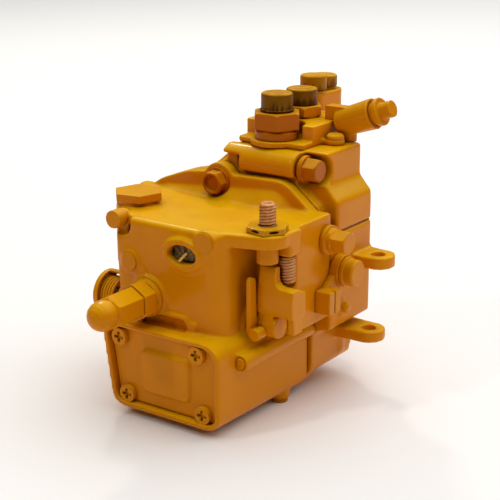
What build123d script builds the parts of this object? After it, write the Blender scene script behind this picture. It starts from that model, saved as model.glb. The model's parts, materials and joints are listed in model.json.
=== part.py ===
from build123d import *
import math
import os

# Diesel injection pump, four outlets, one plunger, mechanical governor at the front.
# Millimetres, +Z up. Origin: camshaft axis where it crosses the drive mounting face.
# +Y points out of the drive end, so the governor end cover faces -Y. +X is the throttle side.

# ---------------------------------------------------------------- main planes and clearances
COVER_Y = -137.0        # front rim of the lower box
CASE_Y = -125.0         # front wall of the upper case
SEAM_Y = -47.0          # joint between governor case and pump body
MOUNT_Y = 0.0           # drive mounting face
CASE_TOP = 79.3         # flat top of the governor case
SPLIT_Z = 65.0          # joint between pump body and head housing
HOUSING_TOP = 112.0     # top of the head housing
BASE_Z = -28.5          # underside of the pump body
WALL = 4.5              # casting wall
GASKET = 0.8            # thickness of every flat gasket
FIT = 0.02              # radial clearance of a running fit
GAP = 0.3               # clearance between pieces that move past each other
BACK_Y = SEAM_Y - GASKET    # rear face of the governor case

# ---------------------------------------------------------------- fasteners
SCREW_R = 2.5           # end cover screws
SCREW_HEAD_R = 4.4
BOLT_R = 4.0            # flange, head and side bolts
STUD_R = 5.0            # speed stop screws

# ---------------------------------------------------------------- governor case
CASE_LEFT = -48.0       # left wall at the top
CASE_RIGHT = 31.0       # right wall at the top
CASE_DRAFT = 3.0        # how far the left wall leans in at the bottom
CORNER_R = 10.0         # vertical corner at the front right
BOX_LEFT_TOP = -49.4
BOX_LEFT_BASE = -41.2
BOX_RIGHT = 37.4
BOX_TOP = 18.2
BOX_BASE = -34.5
BOX_SPREAD = 2.6        # how much wider the box is at the seam on the right
BOX_CORNER = 9.0
RIM = 3.2               # width of the rim round the end cover
COVER_SINK = 4.0        # how far the end cover lies behind the rim
COVER_T = 2.5
COVER_FACE = COVER_Y + COVER_SINK
SEAT_Y = COVER_FACE + COVER_T + GASKET
SCREW_SPOTS = [(-36.5, 8.5), (20.5, 9.5), (-31.5, -26.6), (24.5, -26.6)]
PAD = (-21.5, 15.0, -22.5, 4.5)     # raised pad of the end cover: left, right, low, high
PAD_RISE = 2.2
BULGE_LEFT = -66.0      # side bulge under the filler plug
BULGE_BASE = 42.0
FLANGE = 8.0            # thickness of the case flange
FLANGE_INSET = 1.0      # how far the flange stays inside the lower box on the right
LOBE_X = -22.0          # bolt lobe on top of the flange
LOBE_Z = 88.9
LOBE_SIZE = 11.5
FLANGE_BOLTS = [(LOBE_X, LOBE_Z), (-77.0, 57.0), (-72.0, -8.0)]
FLANGE_POINTS = [(-56, BOX_BASE), (-88, -10), (-88, 58), (-74, 82), (-44, 93), (26, 95.5), (46, 79)]
FLANGE_RADII = [16, 22, 26, 30, 50, 18, 8]
BLOCK_LEFT = 26.0       # throttle side block
BLOCK_RIGHT = 55.0
BLOCK_FRONT = -88.6
BLOCK_BASE = 14.4
RIDGE_X = 40.0          # oil gallery ridge along the right side of the box
RIDGE_Z = 4.0
RIDGE_R = 5.2
RIDGE_BORE = 3.4
RIDGE_FRONT = -120.0
FOOT_X = 32.0           # round foot with the drain plug
FOOT_Y = -66.8
FOOT_R = 6.0
FOOT_H = 3.0
FOOT_PLUG_R = 3.5
CORE_PLUGS = [(20.0, 73.5, 6.2, 1.4), (-34.8, 53.0, 5.6, 1.6)]   # x, z, radius, boss height
CORNER_BOLT_X = -45.2
CORNER_BOLT_Z = 76.0
CORNER_BOLT_R = 5.0
CORNER_BOSS = 2.2

# ---------------------------------------------------------------- openings and bosses of the case
SIGHT_X = 4.3           # oval sight port
SIGHT_Z = 64.0
SIGHT_W = 20.4
SIGHT_H = 11.1
COLLAR = 3.8            # width of the collar round the sight port
COLLAR_H = 2.6
SIGHT_SINK = 1.5        # how far the toothed disc lies behind the wall
ADJ_X = -21.0           # speed adjuster axis
ADJ_Z = 34.0
ADJ_R = 6.5             # thread radius of the adjuster sleeve
ADJ_BOSS_R = 12.6
ADJ_BOSS = 2.5
ADJ_DEEP = 14.0         # how far the sleeve reaches into the case
FILL_X = -53.0          # filler plug
FILL_Y = -95.0
FILL_R = 8.0
FILL_BOSS = 0.6
STOP_Y = -114.0         # stop lever shaft, on the left
STOP_Z = 26.0
STOP_R = 4.0
THR_Y = -96.0           # throttle shaft, on the right
THR_Z = 21.5
THR_R = 5.0
LUG_X = 45.8            # high-speed stop screw and its lug
LUG_Y = -101.0
LUG_R = 13.0
LUG_T = 8.0
LOW_STUD_X = 52.0       # low-speed stop screw
LOW_STUD_Y = -90.0
LOW_STUD_END = 47.2
PIVOT_R = 3.0           # pin of the governor lever
PIVOT_Y = -99.0
PIVOT_Z = 22.0
PIVOT_END = -43.5

# ---------------------------------------------------------------- pump body and head
BODY_LEFT = -55.0
LOWER_RIGHT = 41.0      # right face of the lower body
SHOULDER_Z = 83.0
UPPER_RIGHT = 46.5      # right face of the head housing
UPPER_FRONT = -41.0
BODY_FLANGE = 8.0
GALLERY_Y = -43.0       # fuel gallery boss across the front of the head housing
GALLERY_Z = 101.5
GALLERY_R = 10.0
GALLERY_END = 30.0
GALLERY_BORE = 6.0
PLATE_T = 3.2           # thin part of the head plate
PLATE_LEFT = -18.0
PLATE_RIGHT = 30.0
PLATE_TOP = HOUSING_TOP + PLATE_T
BAR_H = 9.3             # raised bar of the head
BAR_FRONT = -30.2
BAR_BACK = -7.4
BAR_LEFT = -19.0
BAR_TOP = PLATE_TOP + BAR_H
HEAD_BOLT = (36.0, -14.5)
TOWER_TOP = 136.0
TOWER_R = 11.5
TOWER_NECK = 7.9        # rounding of the tower at the third outlet
EAR_R = 11.5            # rounded end of the mounting ears
EAR_T = 7.5
EAR_HOLE_R = 4.5
EAR_Y = -12.0
UPPER_EAR_X = 67.0
UPPER_EAR_Z = 47.0
LOWER_EAR_X = 61.7
LOWER_EAR_Z = -2.0
MOUNT_SPAN_X = 68.0     # stud pattern of the drive face
MOUNT_SPAN_Z = 62.0
MOUNT_CENTRE_Z = 15.0
MOUNT_HOLE_R = 4.25
MOUNT_HOLE_DEEP = 18.0
PILOT_R = 26.0
PILOT_DEEP = 8.0

# ---------------------------------------------------------------- outlets, inlet and side fittings
FRONT_OUTLET = (5.0, -31.8)
SIDE_OUTLET = (5.0, -4.2)
THIRD_OUTLET = (1.8, 14.1)
REAR_OUTLET = (-1.3, 31.5)
FRONT_AF = 27.0         # hexagons of the outlet holders
SIDE_AF = 23.0
SIDE_TURN = 9.9
HEX_TOP = 131.8
CAP_BASE = HEX_TOP + 0.2
FRONT_CAP = (CAP_BASE + GAP, 11.0, 2.3)     # underside, height and roof of each cap
SIDE_CAP = (CAP_BASE, 10.1, 2.1)
THIRD_CAP = (TOWER_TOP + 2.3, 9.2, 2.5)
REAR_CAP = (TOWER_TOP + 1.8, 7.3, 2.1)
CAP_R = 9.8
SMALL_CAP_R = 8.5
END_R = 7.5             # threaded ends under the caps
SMALL_END_R = 6.5
SHANK_R = 7.0           # shanks in the head
SMALL_SHANK_R = 6.0
VALVE_BORE = 2.5
VALVE_R = 2.3
INLET_TILT = 20.0
INLET_X = 38.0
INLET_Y = -1.5
INLET_Z = 124.5
INLET_R = 9.6
INLET_REACH = 19.0
INLET_BORE = 7.2
SIDE_BOLT_Y = -52.5
SIDE_BOLT_Z = 64.0
UNION_Y = -40.0
UNION_Z = 42.0
UNION_R = 10.2
UNION_T = 6.0
UNION_BOLT_R = 5.0

# ---------------------------------------------------------------- speed adjuster, outside in
ADJ_FACE = CASE_Y - ADJ_BOSS
ADJ_WASHER_T = 1.7
ADJ_NUT = 10.0
ADJ_NUT_Y = ADJ_FACE - 2 * ADJ_WASHER_T
ADJ_CAP_Y = ADJ_NUT_Y - ADJ_NUT
ADJ_CAP_HEX = 21.0
ADJ_AF = 18.0
DOME_R = 8.9
SPRING_BORE = 5.0
SPRING_SEAT = 13.0      # depth of the spring seat in the cap nut
LEVER_FRONT = -101.0    # faces of the governor lever
LEVER_BACK = -97.0

# ---------------------------------------------------------------- levers
NUT_H = 3.5
COLLAR_R = 6.3          # collar under the high-speed stop lug
COLLAR_LONG = 10.5
THR_HUB_R = 7.0
LEVER_LEFT = 40.0
LEVER_RIGHT = 64.0
LINK_LEFT = 37.1
LINK_END_R = 3.6
STOP_LEVER_X = -66.8
STOP_LEVER_T = 2.5
CUP_R = 14.0
CUP_T = 1.5
CUP_FACE = -49.0

# ---------------------------------------------------------------- shaft line
SHAFT_R = 10.0
NOSE_R = 6.0            # front end of the shaft, inside the governor sleeve
NOSE_END = -85.0
DRIVE_R = 9.0           # drive end beyond the seal
SEAL_LAND_R = 9.6       # shaft where the lip seal runs
DRIVE_END = 34.0
CAM_Y = -18.0           # plane of the cam and the plunger axis
CAM_BASE_R = 14.0
CAM_LIFT = 5.0
CAM_W = 16.0
CAM_LOBES = 4
CAM_TIP_R = 5.0
CHAMBER_R = CAM_BASE_R + CAM_LIFT + 1.5
BEARING_W = 12.0
BEARING_R = 21.0        # front bearing, wide enough for the cam to pass
REAR_BEARING_R = 17.0
REAR_BEARING_Y = -9.0
CARRIER_Y = -62.0       # flyweight carrier
CARRIER_T = 5.0
CARRIER_R = 21.0
PIN_R = 2.5
WEIGHT_X = 16.0         # flyweight hinges
WEIGHT_Y = -66.0
WEIGHT_HALF = 7.0
SLEEVE_BACK = -70.0
SLEEVE_R = 8.5
SLEEVE_TIP_R = 2.2      # tip that bears on the governor lever
ROD_R = 3.0             # control rod
ROD_X = 18.0
ROD_Z = 56.0

# ---------------------------------------------------------------- plunger
TAPPET_R = 13.0
TAPPET_H = 24.0
TAPPET_BASE = CAM_BASE_R + 2 * CAM_LIFT     # drawn at the top of its stroke
TAPPET_TOP = TAPPET_BASE + TAPPET_H
ROLLER_R = 7.0
ROLLER_Z = CAM_BASE_R + CAM_LIFT + GAP + ROLLER_R
PLUNGER_R = 5.0
PLUNGER_TOP = 97.0
BARREL_R = 13.0
BARREL_BASE = 70.0
BARREL_BORE_TOP = 104.0
PLUNGER_WIRE = 2.0


# ---------------------------------------------------------------- small makers
def rod_x(r, x0, x1, y, z):
    """Cylinder along X."""
    return Pos((x0 + x1) / 2, y, z) * Rot(0, 90, 0) * Cylinder(r, abs(x1 - x0))


def rod_y(r, y0, y1, x, z):
    """Cylinder along Y."""
    return Pos(x, (y0 + y1) / 2, z) * Rot(90, 0, 0) * Cylinder(r, abs(y1 - y0))


def rod_z(r, z0, z1, x, y):
    """Cylinder along Z."""
    return Pos(x, y, (z0 + z1) / 2) * Cylinder(r, abs(z1 - z0))


def block(x0, x1, y0, y1, z0, z1):
    """Box between two corners."""
    return Pos((x0 + x1) / 2, (y0 + y1) / 2, (z0 + z1) / 2) * Box(x1 - x0, y1 - y0, z1 - z0)


def outline(points, radii):
    """Closed outline whose corners are rounded by the given radii."""
    turn = sum(a[0] * b[1] - b[0] * a[1] for a, b in zip(points, points[1:] + points[:1]))
    shape = Polygon(*(points if turn > 0 else points[::-1]), align=None)
    for point, radius in zip(points, radii):
        if radius:
            corner = min(shape.vertices(), key=lambda v: (v.X - point[0]) ** 2 + (v.Y - point[1]) ** 2)
            shape = fillet(corner, radius)
    return shape


def raise_z(shape, z0, z1):
    """Extrusion of an XY outline from z0 up to z1."""
    return Pos(0, 0, z0) * extrude(shape, z1 - z0, dir=(0, 0, 1))


def raise_y(shape, y0, y1):
    """Extrusion of an XZ outline from y0 back to y1."""
    return Pos(0, y1, 0) * extrude(Plane.XZ * shape, y1 - y0, dir=(0, -1, 0))


def raise_x(shape, x0, x1):
    """Extrusion of a YZ outline from x0 to x1."""
    return Pos(x0, 0, 0) * extrude(Plane.YZ * shape, x1 - x0, dir=(1, 0, 0))


def hexagon(across, height, chamfer, turn=0.0):
    """Hexagonal prism standing on z = 0 with its top corners turned off."""
    corner = across / math.sqrt(3)
    prism = extrude(RegularPolygon(corner, 6, rotation=turn), height)
    turned = Pos(0, 0, height / 2) * Cylinder(corner, height)
    turned = chamfer_top(turned, chamfer)
    return prism & turned


def chamfer_top(shape, size):
    """Chamfer on the highest circular edge."""
    return chamfer(shape.edges().filter_by(GeomType.CIRCLE).sort_by(Axis.Z)[-1], size)


def along_y(shape, x, y, z):
    """Piece modelled along +Z, laid so that its +Z points to -Y from (x, y, z)."""
    return Pos(x, y, z) * Rot(90, 0, 0) * shape


def along_x(shape, x, y, z):
    """Piece modelled along +Z, laid so that its +Z points to +X from (x, y, z)."""
    return Pos(x, y, z) * Rot(0, 90, 0) * shape


def hull_of(*circles):
    """Outline round several circles given as (x, y, radius)."""
    return make_hull(sum((Pos(x, y) * Circle(r) for x, y, r in circles), Sketch()).edges())


def coil(radius, wire, pitch, turns):
    """Spring of square wire standing on z = 0, bent in short straight runs."""
    corners = 10
    spots = []
    for n in range(int(turns * corners) + 1):
        angle = 2 * math.pi * n / corners
        spots.append((radius * math.cos(angle), radius * math.sin(angle), wire / 2 + pitch * n / corners))
    path = Polyline(*spots)
    start = Plane(origin=path @ 0, z_dir=path % 0)
    return sweep(start * Rectangle(wire, wire), path, transition=Transition.RIGHT)


NODES = {}


def keep(name, *solids):
    """Keeps the solids of one node."""
    NODES[name] = Compound(children=[s for shape in solids for s in shape.solids()])


# ---------------------------------------------------------------- governor case
def box_outline(spread=0.0, inset=0.0):
    """Cross section of the lower box, narrower at its base on the left."""
    points = [(BOX_LEFT_TOP, BOX_TOP), (BOX_RIGHT + spread, BOX_TOP)]
    points += [(BOX_RIGHT + spread, BOX_BASE), (BOX_LEFT_BASE, BOX_BASE)]
    shape = outline(points, [BOX_CORNER, BOX_CORNER + 3, BOX_CORNER, BOX_CORNER])
    return offset(shape, -inset) if inset else shape


def flange_outline():
    """Big joint face between case and pump body, with its top lobe."""
    right = BOX_RIGHT + BOX_SPREAD - FLANGE_INSET
    points = FLANGE_POINTS + [(46, BLOCK_BASE), (right, BLOCK_BASE), (right, BOX_BASE)]
    shape = outline(points, FLANGE_RADII + [0, 0, BOX_CORNER])
    return shape + Pos(LOBE_X, LOBE_Z) * Circle(LOBE_SIZE)


def case_plan(lean):
    """Plan of the upper case; lean is how far the left wall has moved in."""
    left = CASE_LEFT + lean
    points = [(left, CASE_Y), (CASE_RIGHT, CASE_Y), (CASE_RIGHT, BACK_Y), (left, BACK_Y)]
    return outline(points, [4, CORNER_R, 0, 0])


def case_outside():
    """Outer form of the governor case without bosses."""
    low, high = Pos(0, 0, BLOCK_BASE - 2) * case_plan(CASE_DRAFT), Pos(0, 0, CASE_TOP) * case_plan(0)
    upper = loft([low, high], ruled=True)
    brow = upper.faces().sort_by(Axis.Z)[-1].edges()
    brow = [e for e in brow if e.center().Y < -90 and e.center().X < CASE_RIGHT - 0.5]
    upper = chamfer(brow + [e for e in upper.faces().sort_by(Axis.Z)[-1].edges()
                            if e.center().X < CASE_LEFT + 0.5], 2.0)
    front = Plane.XZ.offset(-COVER_Y) * box_outline()
    rear = Plane.XZ.offset(-BACK_Y) * box_outline(BOX_SPREAD)
    lower = loft([front, rear], ruled=True)
    bulge = [(-44, -112), (BULGE_LEFT, -104), (BULGE_LEFT, -80), (-86, -56), (-86, BACK_Y), (-44, BACK_Y)]
    bulge = raise_z(outline(bulge, [0, 9, 20, 6, 0, 0]), BULGE_BASE, CASE_TOP)
    bulge = chamfer(bulge.faces().sort_by(Axis.Z)[-1].edges().filter_by(lambda e: e.center().X < -50), 2.0)
    flare_low = Polygon((-40, -96), (-44, -84), (-52, -56), (-52, BACK_Y), (-40, BACK_Y), align=None)
    flare_high = Polygon((-40, -104), (-62, -80), (-86, -56), (-86, BACK_Y), (-40, BACK_Y), align=None)
    flare = loft([Pos(0, 0, BOX_BASE + 2) * flare_low, Pos(0, 0, 46) * flare_high], ruled=True)
    flange = raise_y(flange_outline(), BACK_Y - FLANGE, BACK_Y)
    hood_front = outline([(-72, 30), (-72, 58), (-60, 76), (20, 79), (36, 70), (36, 30)], [0, 8, 10, 14, 6, 0])
    hood_back = outline([(-84, 30), (-84, 58), (-68, 82), (24, 91), (42, 72), (42, 30)], [0, 8, 14, 16, 6, 0])
    hood = loft([Plane.XZ.offset(-BACK_Y + FLANGE + 9) * hood_front,
                 Plane.XZ.offset(-BACK_Y + FLANGE - 1) * hood_back], ruled=True)
    side = [(BLOCK_LEFT, BLOCK_FRONT), (BLOCK_RIGHT, BLOCK_FRONT), (BLOCK_RIGHT, BACK_Y), (BLOCK_LEFT, BACK_Y)]
    side = outline(side, [0, 3, 0, 0])
    side = raise_z(side, BLOCK_BASE, CASE_TOP)
    lug = hull_of((LUG_X, LUG_Y, LUG_R), (50, BLOCK_FRONT + 4, 5), (24, BLOCK_FRONT, 5), (20, CASE_Y + 9, 6))
    lug = raise_z(lug, CASE_TOP - LUG_T, CASE_TOP)
    return upper + lower + bulge + flare + flange + hood + side + lug


def case_inside():
    """Space inside the case."""
    front = Plane.XZ.offset(-SEAT_Y) * box_outline(0, RIM + 5)
    rear = Plane.XZ.offset(-SEAM_Y) * box_outline(BOX_SPREAD, RIM + 5)
    lower = loft([front, rear], ruled=True)
    recess = raise_y(box_outline(0, RIM), COVER_Y - 1, SEAT_Y)
    upper = block(CASE_LEFT + CASE_DRAFT + WALL, CASE_RIGHT - WALL, CASE_Y + WALL, SEAM_Y,
                  BOX_TOP - 12, CASE_TOP - WALL)
    side = block(CASE_RIGHT - WALL - 1, BLOCK_RIGHT - WALL, BLOCK_FRONT + 2 * WALL, SEAM_Y,
                 BLOCK_BASE + WALL, CASE_TOP - WALL)
    bulge = [(-46, -106), (BULGE_LEFT + WALL, -100), (BULGE_LEFT + WALL, SEAM_Y)]
    bulge += [(-40, SEAM_Y), (-40, -106)]
    bulge = raise_z(outline(bulge, [0, 5, 0, 0, 0]), BULGE_BASE + WALL, CASE_TOP - WALL)
    return lower + recess + upper + side + bulge


def pocket_frame():
    """Shallow framed pocket above the end cover."""
    points = [(-19.5, 26.5), (7.5, 26.5), (11, BOX_TOP - 1), (-33, BOX_TOP - 1)]
    frame = raise_y(outline(points, [3, 3, 0, 0]), CASE_Y - 1.6, CASE_Y + 1)
    inner = [(-17.5, 24.2), (5, 24.2), (8, BOX_TOP - 2), (-30, BOX_TOP - 2)]
    hollow = raise_y(outline(inner, [2, 2, 0, 0]), CASE_Y - 2, CASE_Y + 1.2)
    ear = rod_y(2.6, CASE_Y - 2.0, CASE_Y + 1, 11.5, BOX_TOP + 3.5)
    return frame + ear, hollow


def governor_case():
    """Front casting that holds the governor."""
    frame, hollow = pocket_frame()
    body = case_outside() - case_inside()
    collar = Pos(SIGHT_X, SIGHT_Z) * Ellipse(SIGHT_W / 2 + COLLAR, SIGHT_H / 2 + COLLAR * 0.75)
    body += raise_y(collar, CASE_Y - COLLAR_H, CASE_Y + 2)
    body += rod_y(ADJ_BOSS_R, ADJ_FACE, CASE_Y + WALL, ADJ_X, ADJ_Z)
    body += rod_y(ADJ_BOSS_R - 2.5, CASE_Y, CASE_Y + ADJ_DEEP, ADJ_X, ADJ_Z)
    for x, z, r, rise in CORE_PLUGS:
        body += rod_y(r + 1.0, CASE_Y - rise, CASE_Y + 6, x, z)
    body += rod_y(4.6, CASE_Y - 0.9, CASE_Y + 2, -27.5, 47.5)
    body += rod_y(CORNER_BOLT_R + 1.4, CASE_Y - CORNER_BOSS, CASE_Y + 8, CORNER_BOLT_X, CORNER_BOLT_Z)
    body += frame
    body -= hollow
    hole = Pos(SIGHT_X, SIGHT_Z) * Ellipse(SIGHT_W / 2, SIGHT_H / 2)
    body -= raise_y(hole, CASE_Y - 6, CASE_Y + 8)
    body -= rod_y(ADJ_R + FIT, ADJ_FACE - 1, CASE_Y + ADJ_DEEP + 1, ADJ_X, ADJ_Z)
    for x, z in SCREW_SPOTS:
        body += rod_y(6.0, SEAT_Y, SEAT_Y + 12, x, z)
        body -= rod_y(SCREW_R, SEAT_Y - 1, SEAT_Y + 11, x, z)
    body += rod_z(FILL_R + 5.5, CASE_TOP - 9, CASE_TOP + FILL_BOSS, FILL_X, FILL_Y)
    body -= rod_z(FILL_R + FIT, CASE_TOP - 10, CASE_TOP + 1, FILL_X, FILL_Y)
    body -= rod_z(STUD_R + FIT, CASE_TOP - LUG_T - 1, CASE_TOP + 1, LUG_X, LUG_Y)
    body -= rod_z(STUD_R + FIT, LOW_STUD_END - 4, CASE_TOP + 1, LOW_STUD_X, LOW_STUD_Y)
    body += rod_x(THR_R + 5, CASE_RIGHT - WALL - 6, CASE_RIGHT + 3, THR_Y, THR_Z)
    body -= rod_x(THR_R + FIT, CASE_RIGHT - 20, CASE_RIGHT + 4, THR_Y, THR_Z)
    body += rod_x(STOP_R + 5, CASE_LEFT - 1, CASE_LEFT + 10, STOP_Y, STOP_Z)
    body -= rod_x(STOP_R + FIT, CASE_LEFT - 2, CASE_LEFT + 12, STOP_Y, STOP_Z)
    for x, z in FLANGE_BOLTS:
        body -= rod_y(BOLT_R + GAP, BACK_Y - FLANGE - 12, BACK_Y + 1, x, z)
        body -= rod_y(9.0, BACK_Y - FLANGE - 30, BACK_Y - FLANGE, x, z)
    body += ridge(RIDGE_FRONT, BACK_Y)
    body += rod_z(FOOT_R, BOX_BASE - FOOT_H, BOX_BASE + 8, FOOT_X, FOOT_Y)
    body -= rod_z(FOOT_PLUG_R + FIT, BOX_BASE - 4, BOX_BASE + 9, FOOT_X, FOOT_Y)
    body -= rod_y(RIDGE_BORE + FIT, RIDGE_FRONT - 1, RIDGE_FRONT + 12, RIDGE_X, RIDGE_Z)
    body += rod_x(PIVOT_R + 3.5, PIVOT_END, -32, PIVOT_Y, PIVOT_Z)
    body -= rod_x(PIVOT_R + FIT, PIVOT_END, -30, PIVOT_Y, PIVOT_Z)
    body -= rod_x(BOLT_R + FIT, BLOCK_RIGHT - 4, BLOCK_RIGHT + 1, SIDE_BOLT_Y, SIDE_BOLT_Z)
    return body


def ridge(y0, y1):
    """Oil gallery ridge along the right side of the lower box."""
    return rod_y(RIDGE_R, y0, y1, RIDGE_X, RIDGE_Z) + block(
        RIDGE_X - 7, RIDGE_X, y0, y1, RIDGE_Z - RIDGE_R, RIDGE_Z + RIDGE_R)


# ---------------------------------------------------------------- pump body and head castings
def body_half(above):
    """Body side of the joint face, above or below the split."""
    whole = raise_y(flange_outline(), SEAM_Y, SEAM_Y + BODY_FLANGE)
    low, high = (SPLIT_Z, 130) if above else (-60, SPLIT_Z - GASKET)
    return whole & block(-120, 120, SEAM_Y - 1, SEAM_Y + BODY_FLANGE + 1, low, high)


def ear(x, z, root_x):
    """Mounting ear that stands out to the right, drilled upright."""
    shape = hull_of((x, EAR_Y, EAR_R - 1), (root_x, EAR_Y, EAR_R))
    return raise_z(shape, z - EAR_T, z)


def tap_holes():
    """Holes for the studs that hold the pump by its drive face."""
    for x in (-MOUNT_SPAN_X / 2, MOUNT_SPAN_X / 2):
        for z in (-MOUNT_SPAN_Z / 2, MOUNT_SPAN_Z / 2):
            yield rod_y(MOUNT_HOLE_R, MOUNT_Y - MOUNT_HOLE_DEEP, MOUNT_Y + 1, x, MOUNT_CENTRE_Z + z)


def pump_body():
    """Cam chamber casting with the drive face, pilot and mounting ears."""
    top = SPLIT_Z - GASKET
    points = [(BODY_LEFT, top), (BODY_LEFT, 6), (-47, -6), (-42, BASE_Z), (LOWER_RIGHT + 1, BASE_Z)]
    points += [(LOWER_RIGHT + 1, 1), (BLOCK_RIGHT, 5), (BLOCK_RIGHT, top)]
    body = raise_y(outline(points, [0, 8, 8, 9, 7, 3, 2, 0]), SEAM_Y, MOUNT_Y)
    body += body_half(False)
    body += ridge(SEAM_Y, MOUNT_Y - 3)
    body += ear(UPPER_EAR_X, UPPER_EAR_Z, BLOCK_RIGHT - 8)
    body += ear(LOWER_EAR_X, LOWER_EAR_Z, LOWER_RIGHT - 10)
    body += rod_z(EAR_R - 2, BASE_Z + 6, LOWER_EAR_Z - 3, LOWER_RIGHT - 7.5, EAR_Y)
    body += rod_y(PILOT_R, MOUNT_Y, MOUNT_Y + PILOT_DEEP, 0, 0)
    body += rod_x(3.5, BLOCK_RIGHT - 1, BLOCK_RIGHT + 6, -35, 17)
    body -= rod_z(EAR_HOLE_R, UPPER_EAR_Z - 20, UPPER_EAR_Z + 5, UPPER_EAR_X, EAR_Y)
    body -= rod_z(EAR_HOLE_R, LOWER_EAR_Z - 20, LOWER_EAR_Z + 5, LOWER_EAR_X, EAR_Y)
    body -= rod_y(CHAMBER_R, SEAM_Y - 1, REAR_BEARING_Y, 0, 0)
    body -= rod_y(BEARING_R + FIT, SEAM_Y - 1, SEAM_Y + BEARING_W, 0, 0)
    body -= rod_y(REAR_BEARING_R + FIT, REAR_BEARING_Y, PILOT_DEEP + 1, 0, 0)
    body -= rod_z(TAPPET_R + FIT, 10, top + 1, 0, CAM_Y)
    body -= rod_y(ROD_R + FIT, SEAM_Y - 1, SEAM_Y + 34, ROD_X, ROD_Z)
    body -= rod_x(UNION_BOLT_R + FIT, BLOCK_RIGHT - 6, BLOCK_RIGHT + 1, UNION_Y, UNION_Z)
    for x, z in FLANGE_BOLTS:
        body -= rod_y(BOLT_R + FIT, SEAM_Y - 1, SEAM_Y + BODY_FLANGE + 2, x, z)
    for hole in tap_holes():
        body -= hole
    return body


def head_housing():
    """Upper casting that carries the barrel, with the fuel gallery across its front."""
    points = [(BLOCK_RIGHT, SPLIT_Z), (BLOCK_RIGHT, SHOULDER_Z), (UPPER_RIGHT, SHOULDER_Z + 9.6)]
    points += [(UPPER_RIGHT, HOUSING_TOP), (-16, HOUSING_TOP), (-34, 97), (BODY_LEFT, 84), (BODY_LEFT, SPLIT_Z)]
    body = raise_y(outline(points, [0, 6, 5, 1.5, 5, 8, 8, 0]), UPPER_FRONT, MOUNT_Y)
    body += body_half(True)
    corner = body.edges().filter_by(Axis.Z).filter_by(lambda e: abs(e.center().X - UPPER_RIGHT) < 0.1)
    body = fillet(corner, 2.0)
    boss = rod_x(GALLERY_R, -22, GALLERY_END, GALLERY_Y, GALLERY_Z)
    boss -= block(-60, 60, SEAM_Y - 20, SEAM_Y, 80, 97)
    boss -= block(-60, LOBE_X + 13, SEAM_Y - 20, SEAM_Y, 80, 106)
    body += boss
    body -= rod_x(GALLERY_R - 0.5, GALLERY_END, 80, GALLERY_Y, GALLERY_Z)
    body -= rod_x(GALLERY_BORE + FIT, -14, GALLERY_END + 1, GALLERY_Y, GALLERY_Z)
    body -= rod_z(BARREL_R + FIT, SPLIT_Z - 1, HOUSING_TOP + 1, 0, CAM_Y)
    body -= rod_z(BOLT_R + FIT, HOUSING_TOP - 12, HOUSING_TOP + 1, *HEAD_BOLT)
    for x, z in FLANGE_BOLTS:
        body -= rod_y(BOLT_R + FIT, SEAM_Y - 1, SEAM_Y + BODY_FLANGE + 2, x, z)
    return body


def rear_tongue(r):
    """Outline of the rear part of the head, under the two rear outlets."""
    return hull_of((SIDE_OUTLET[0], SIDE_OUTLET[1], r + 2), (THIRD_OUTLET[0], THIRD_OUTLET[1], r),
                   (REAR_OUTLET[0], REAR_OUTLET[1], r))


def head_plate():
    """Hydraulic head: plate, raised bar and the tower for the rear outlets."""
    plate = outline([(PLATE_LEFT, UPPER_FRONT - 0.4), (PLATE_RIGHT, UPPER_FRONT - 0.4),
                     (PLATE_RIGHT, -5), (PLATE_LEFT, -5)], [3, 2, 3, 3])
    plate += Pos(*FRONT_OUTLET) * Circle(16.5)
    head = raise_z(plate, HOUSING_TOP, PLATE_TOP)
    bar = block(BAR_LEFT, PLATE_RIGHT, BAR_FRONT, BAR_BACK, HOUSING_TOP, BAR_TOP)
    head += chamfer(bar.edges().filter_by(Axis.Z), 0.8)
    head -= rod_z(17.0, PLATE_TOP, BAR_TOP + 1, *FRONT_OUTLET)
    head += raise_z(rear_tongue(TOWER_R), HOUSING_TOP, BAR_TOP)
    head += block(SIDE_OUTLET[0], PLATE_RIGHT, BAR_BACK - 2, INLET_Y + 4, HOUSING_TOP, BAR_TOP)
    head += raise_z(hull_of((*THIRD_OUTLET, TOWER_NECK), (*REAR_OUTLET, TOWER_R)), BAR_TOP - 1, TOWER_TOP)
    room = Pos(*SIDE_OUTLET) * RegularPolygon((SIDE_AF + 2 * GAP) / math.sqrt(3), 6, rotation=SIDE_TURN)
    head -= raise_z(room, BAR_TOP, CAP_BASE)
    head += raise_z(hull_of((*THIRD_OUTLET, TOWER_R), (*REAR_OUTLET, TOWER_R)), 97, HOUSING_TOP + 1) & \
        block(-40, 40, MOUNT_Y, 60, 90, 120)
    head += raise_z(hull_of((*HEAD_BOLT, 6.0), (PLATE_RIGHT - 6, HEAD_BOLT[1], 6.0)), HOUSING_TOP, PLATE_TOP)
    head -= rod_z(BOLT_R + FIT, HOUSING_TOP - 1, PLATE_TOP + 3, *HEAD_BOLT)
    head -= rod_z(SHANK_R + FIT, HOUSING_TOP - 1, PLATE_TOP + 1, *FRONT_OUTLET)
    head -= rod_z(SHANK_R + FIT, HOUSING_TOP - 1, BAR_TOP + 1, *SIDE_OUTLET)
    for spot in (THIRD_OUTLET, REAR_OUTLET):
        head -= rod_z(SMALL_SHANK_R + FIT, HOUSING_TOP + 4, TOWER_TOP + 1, *spot)
    return head


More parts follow.
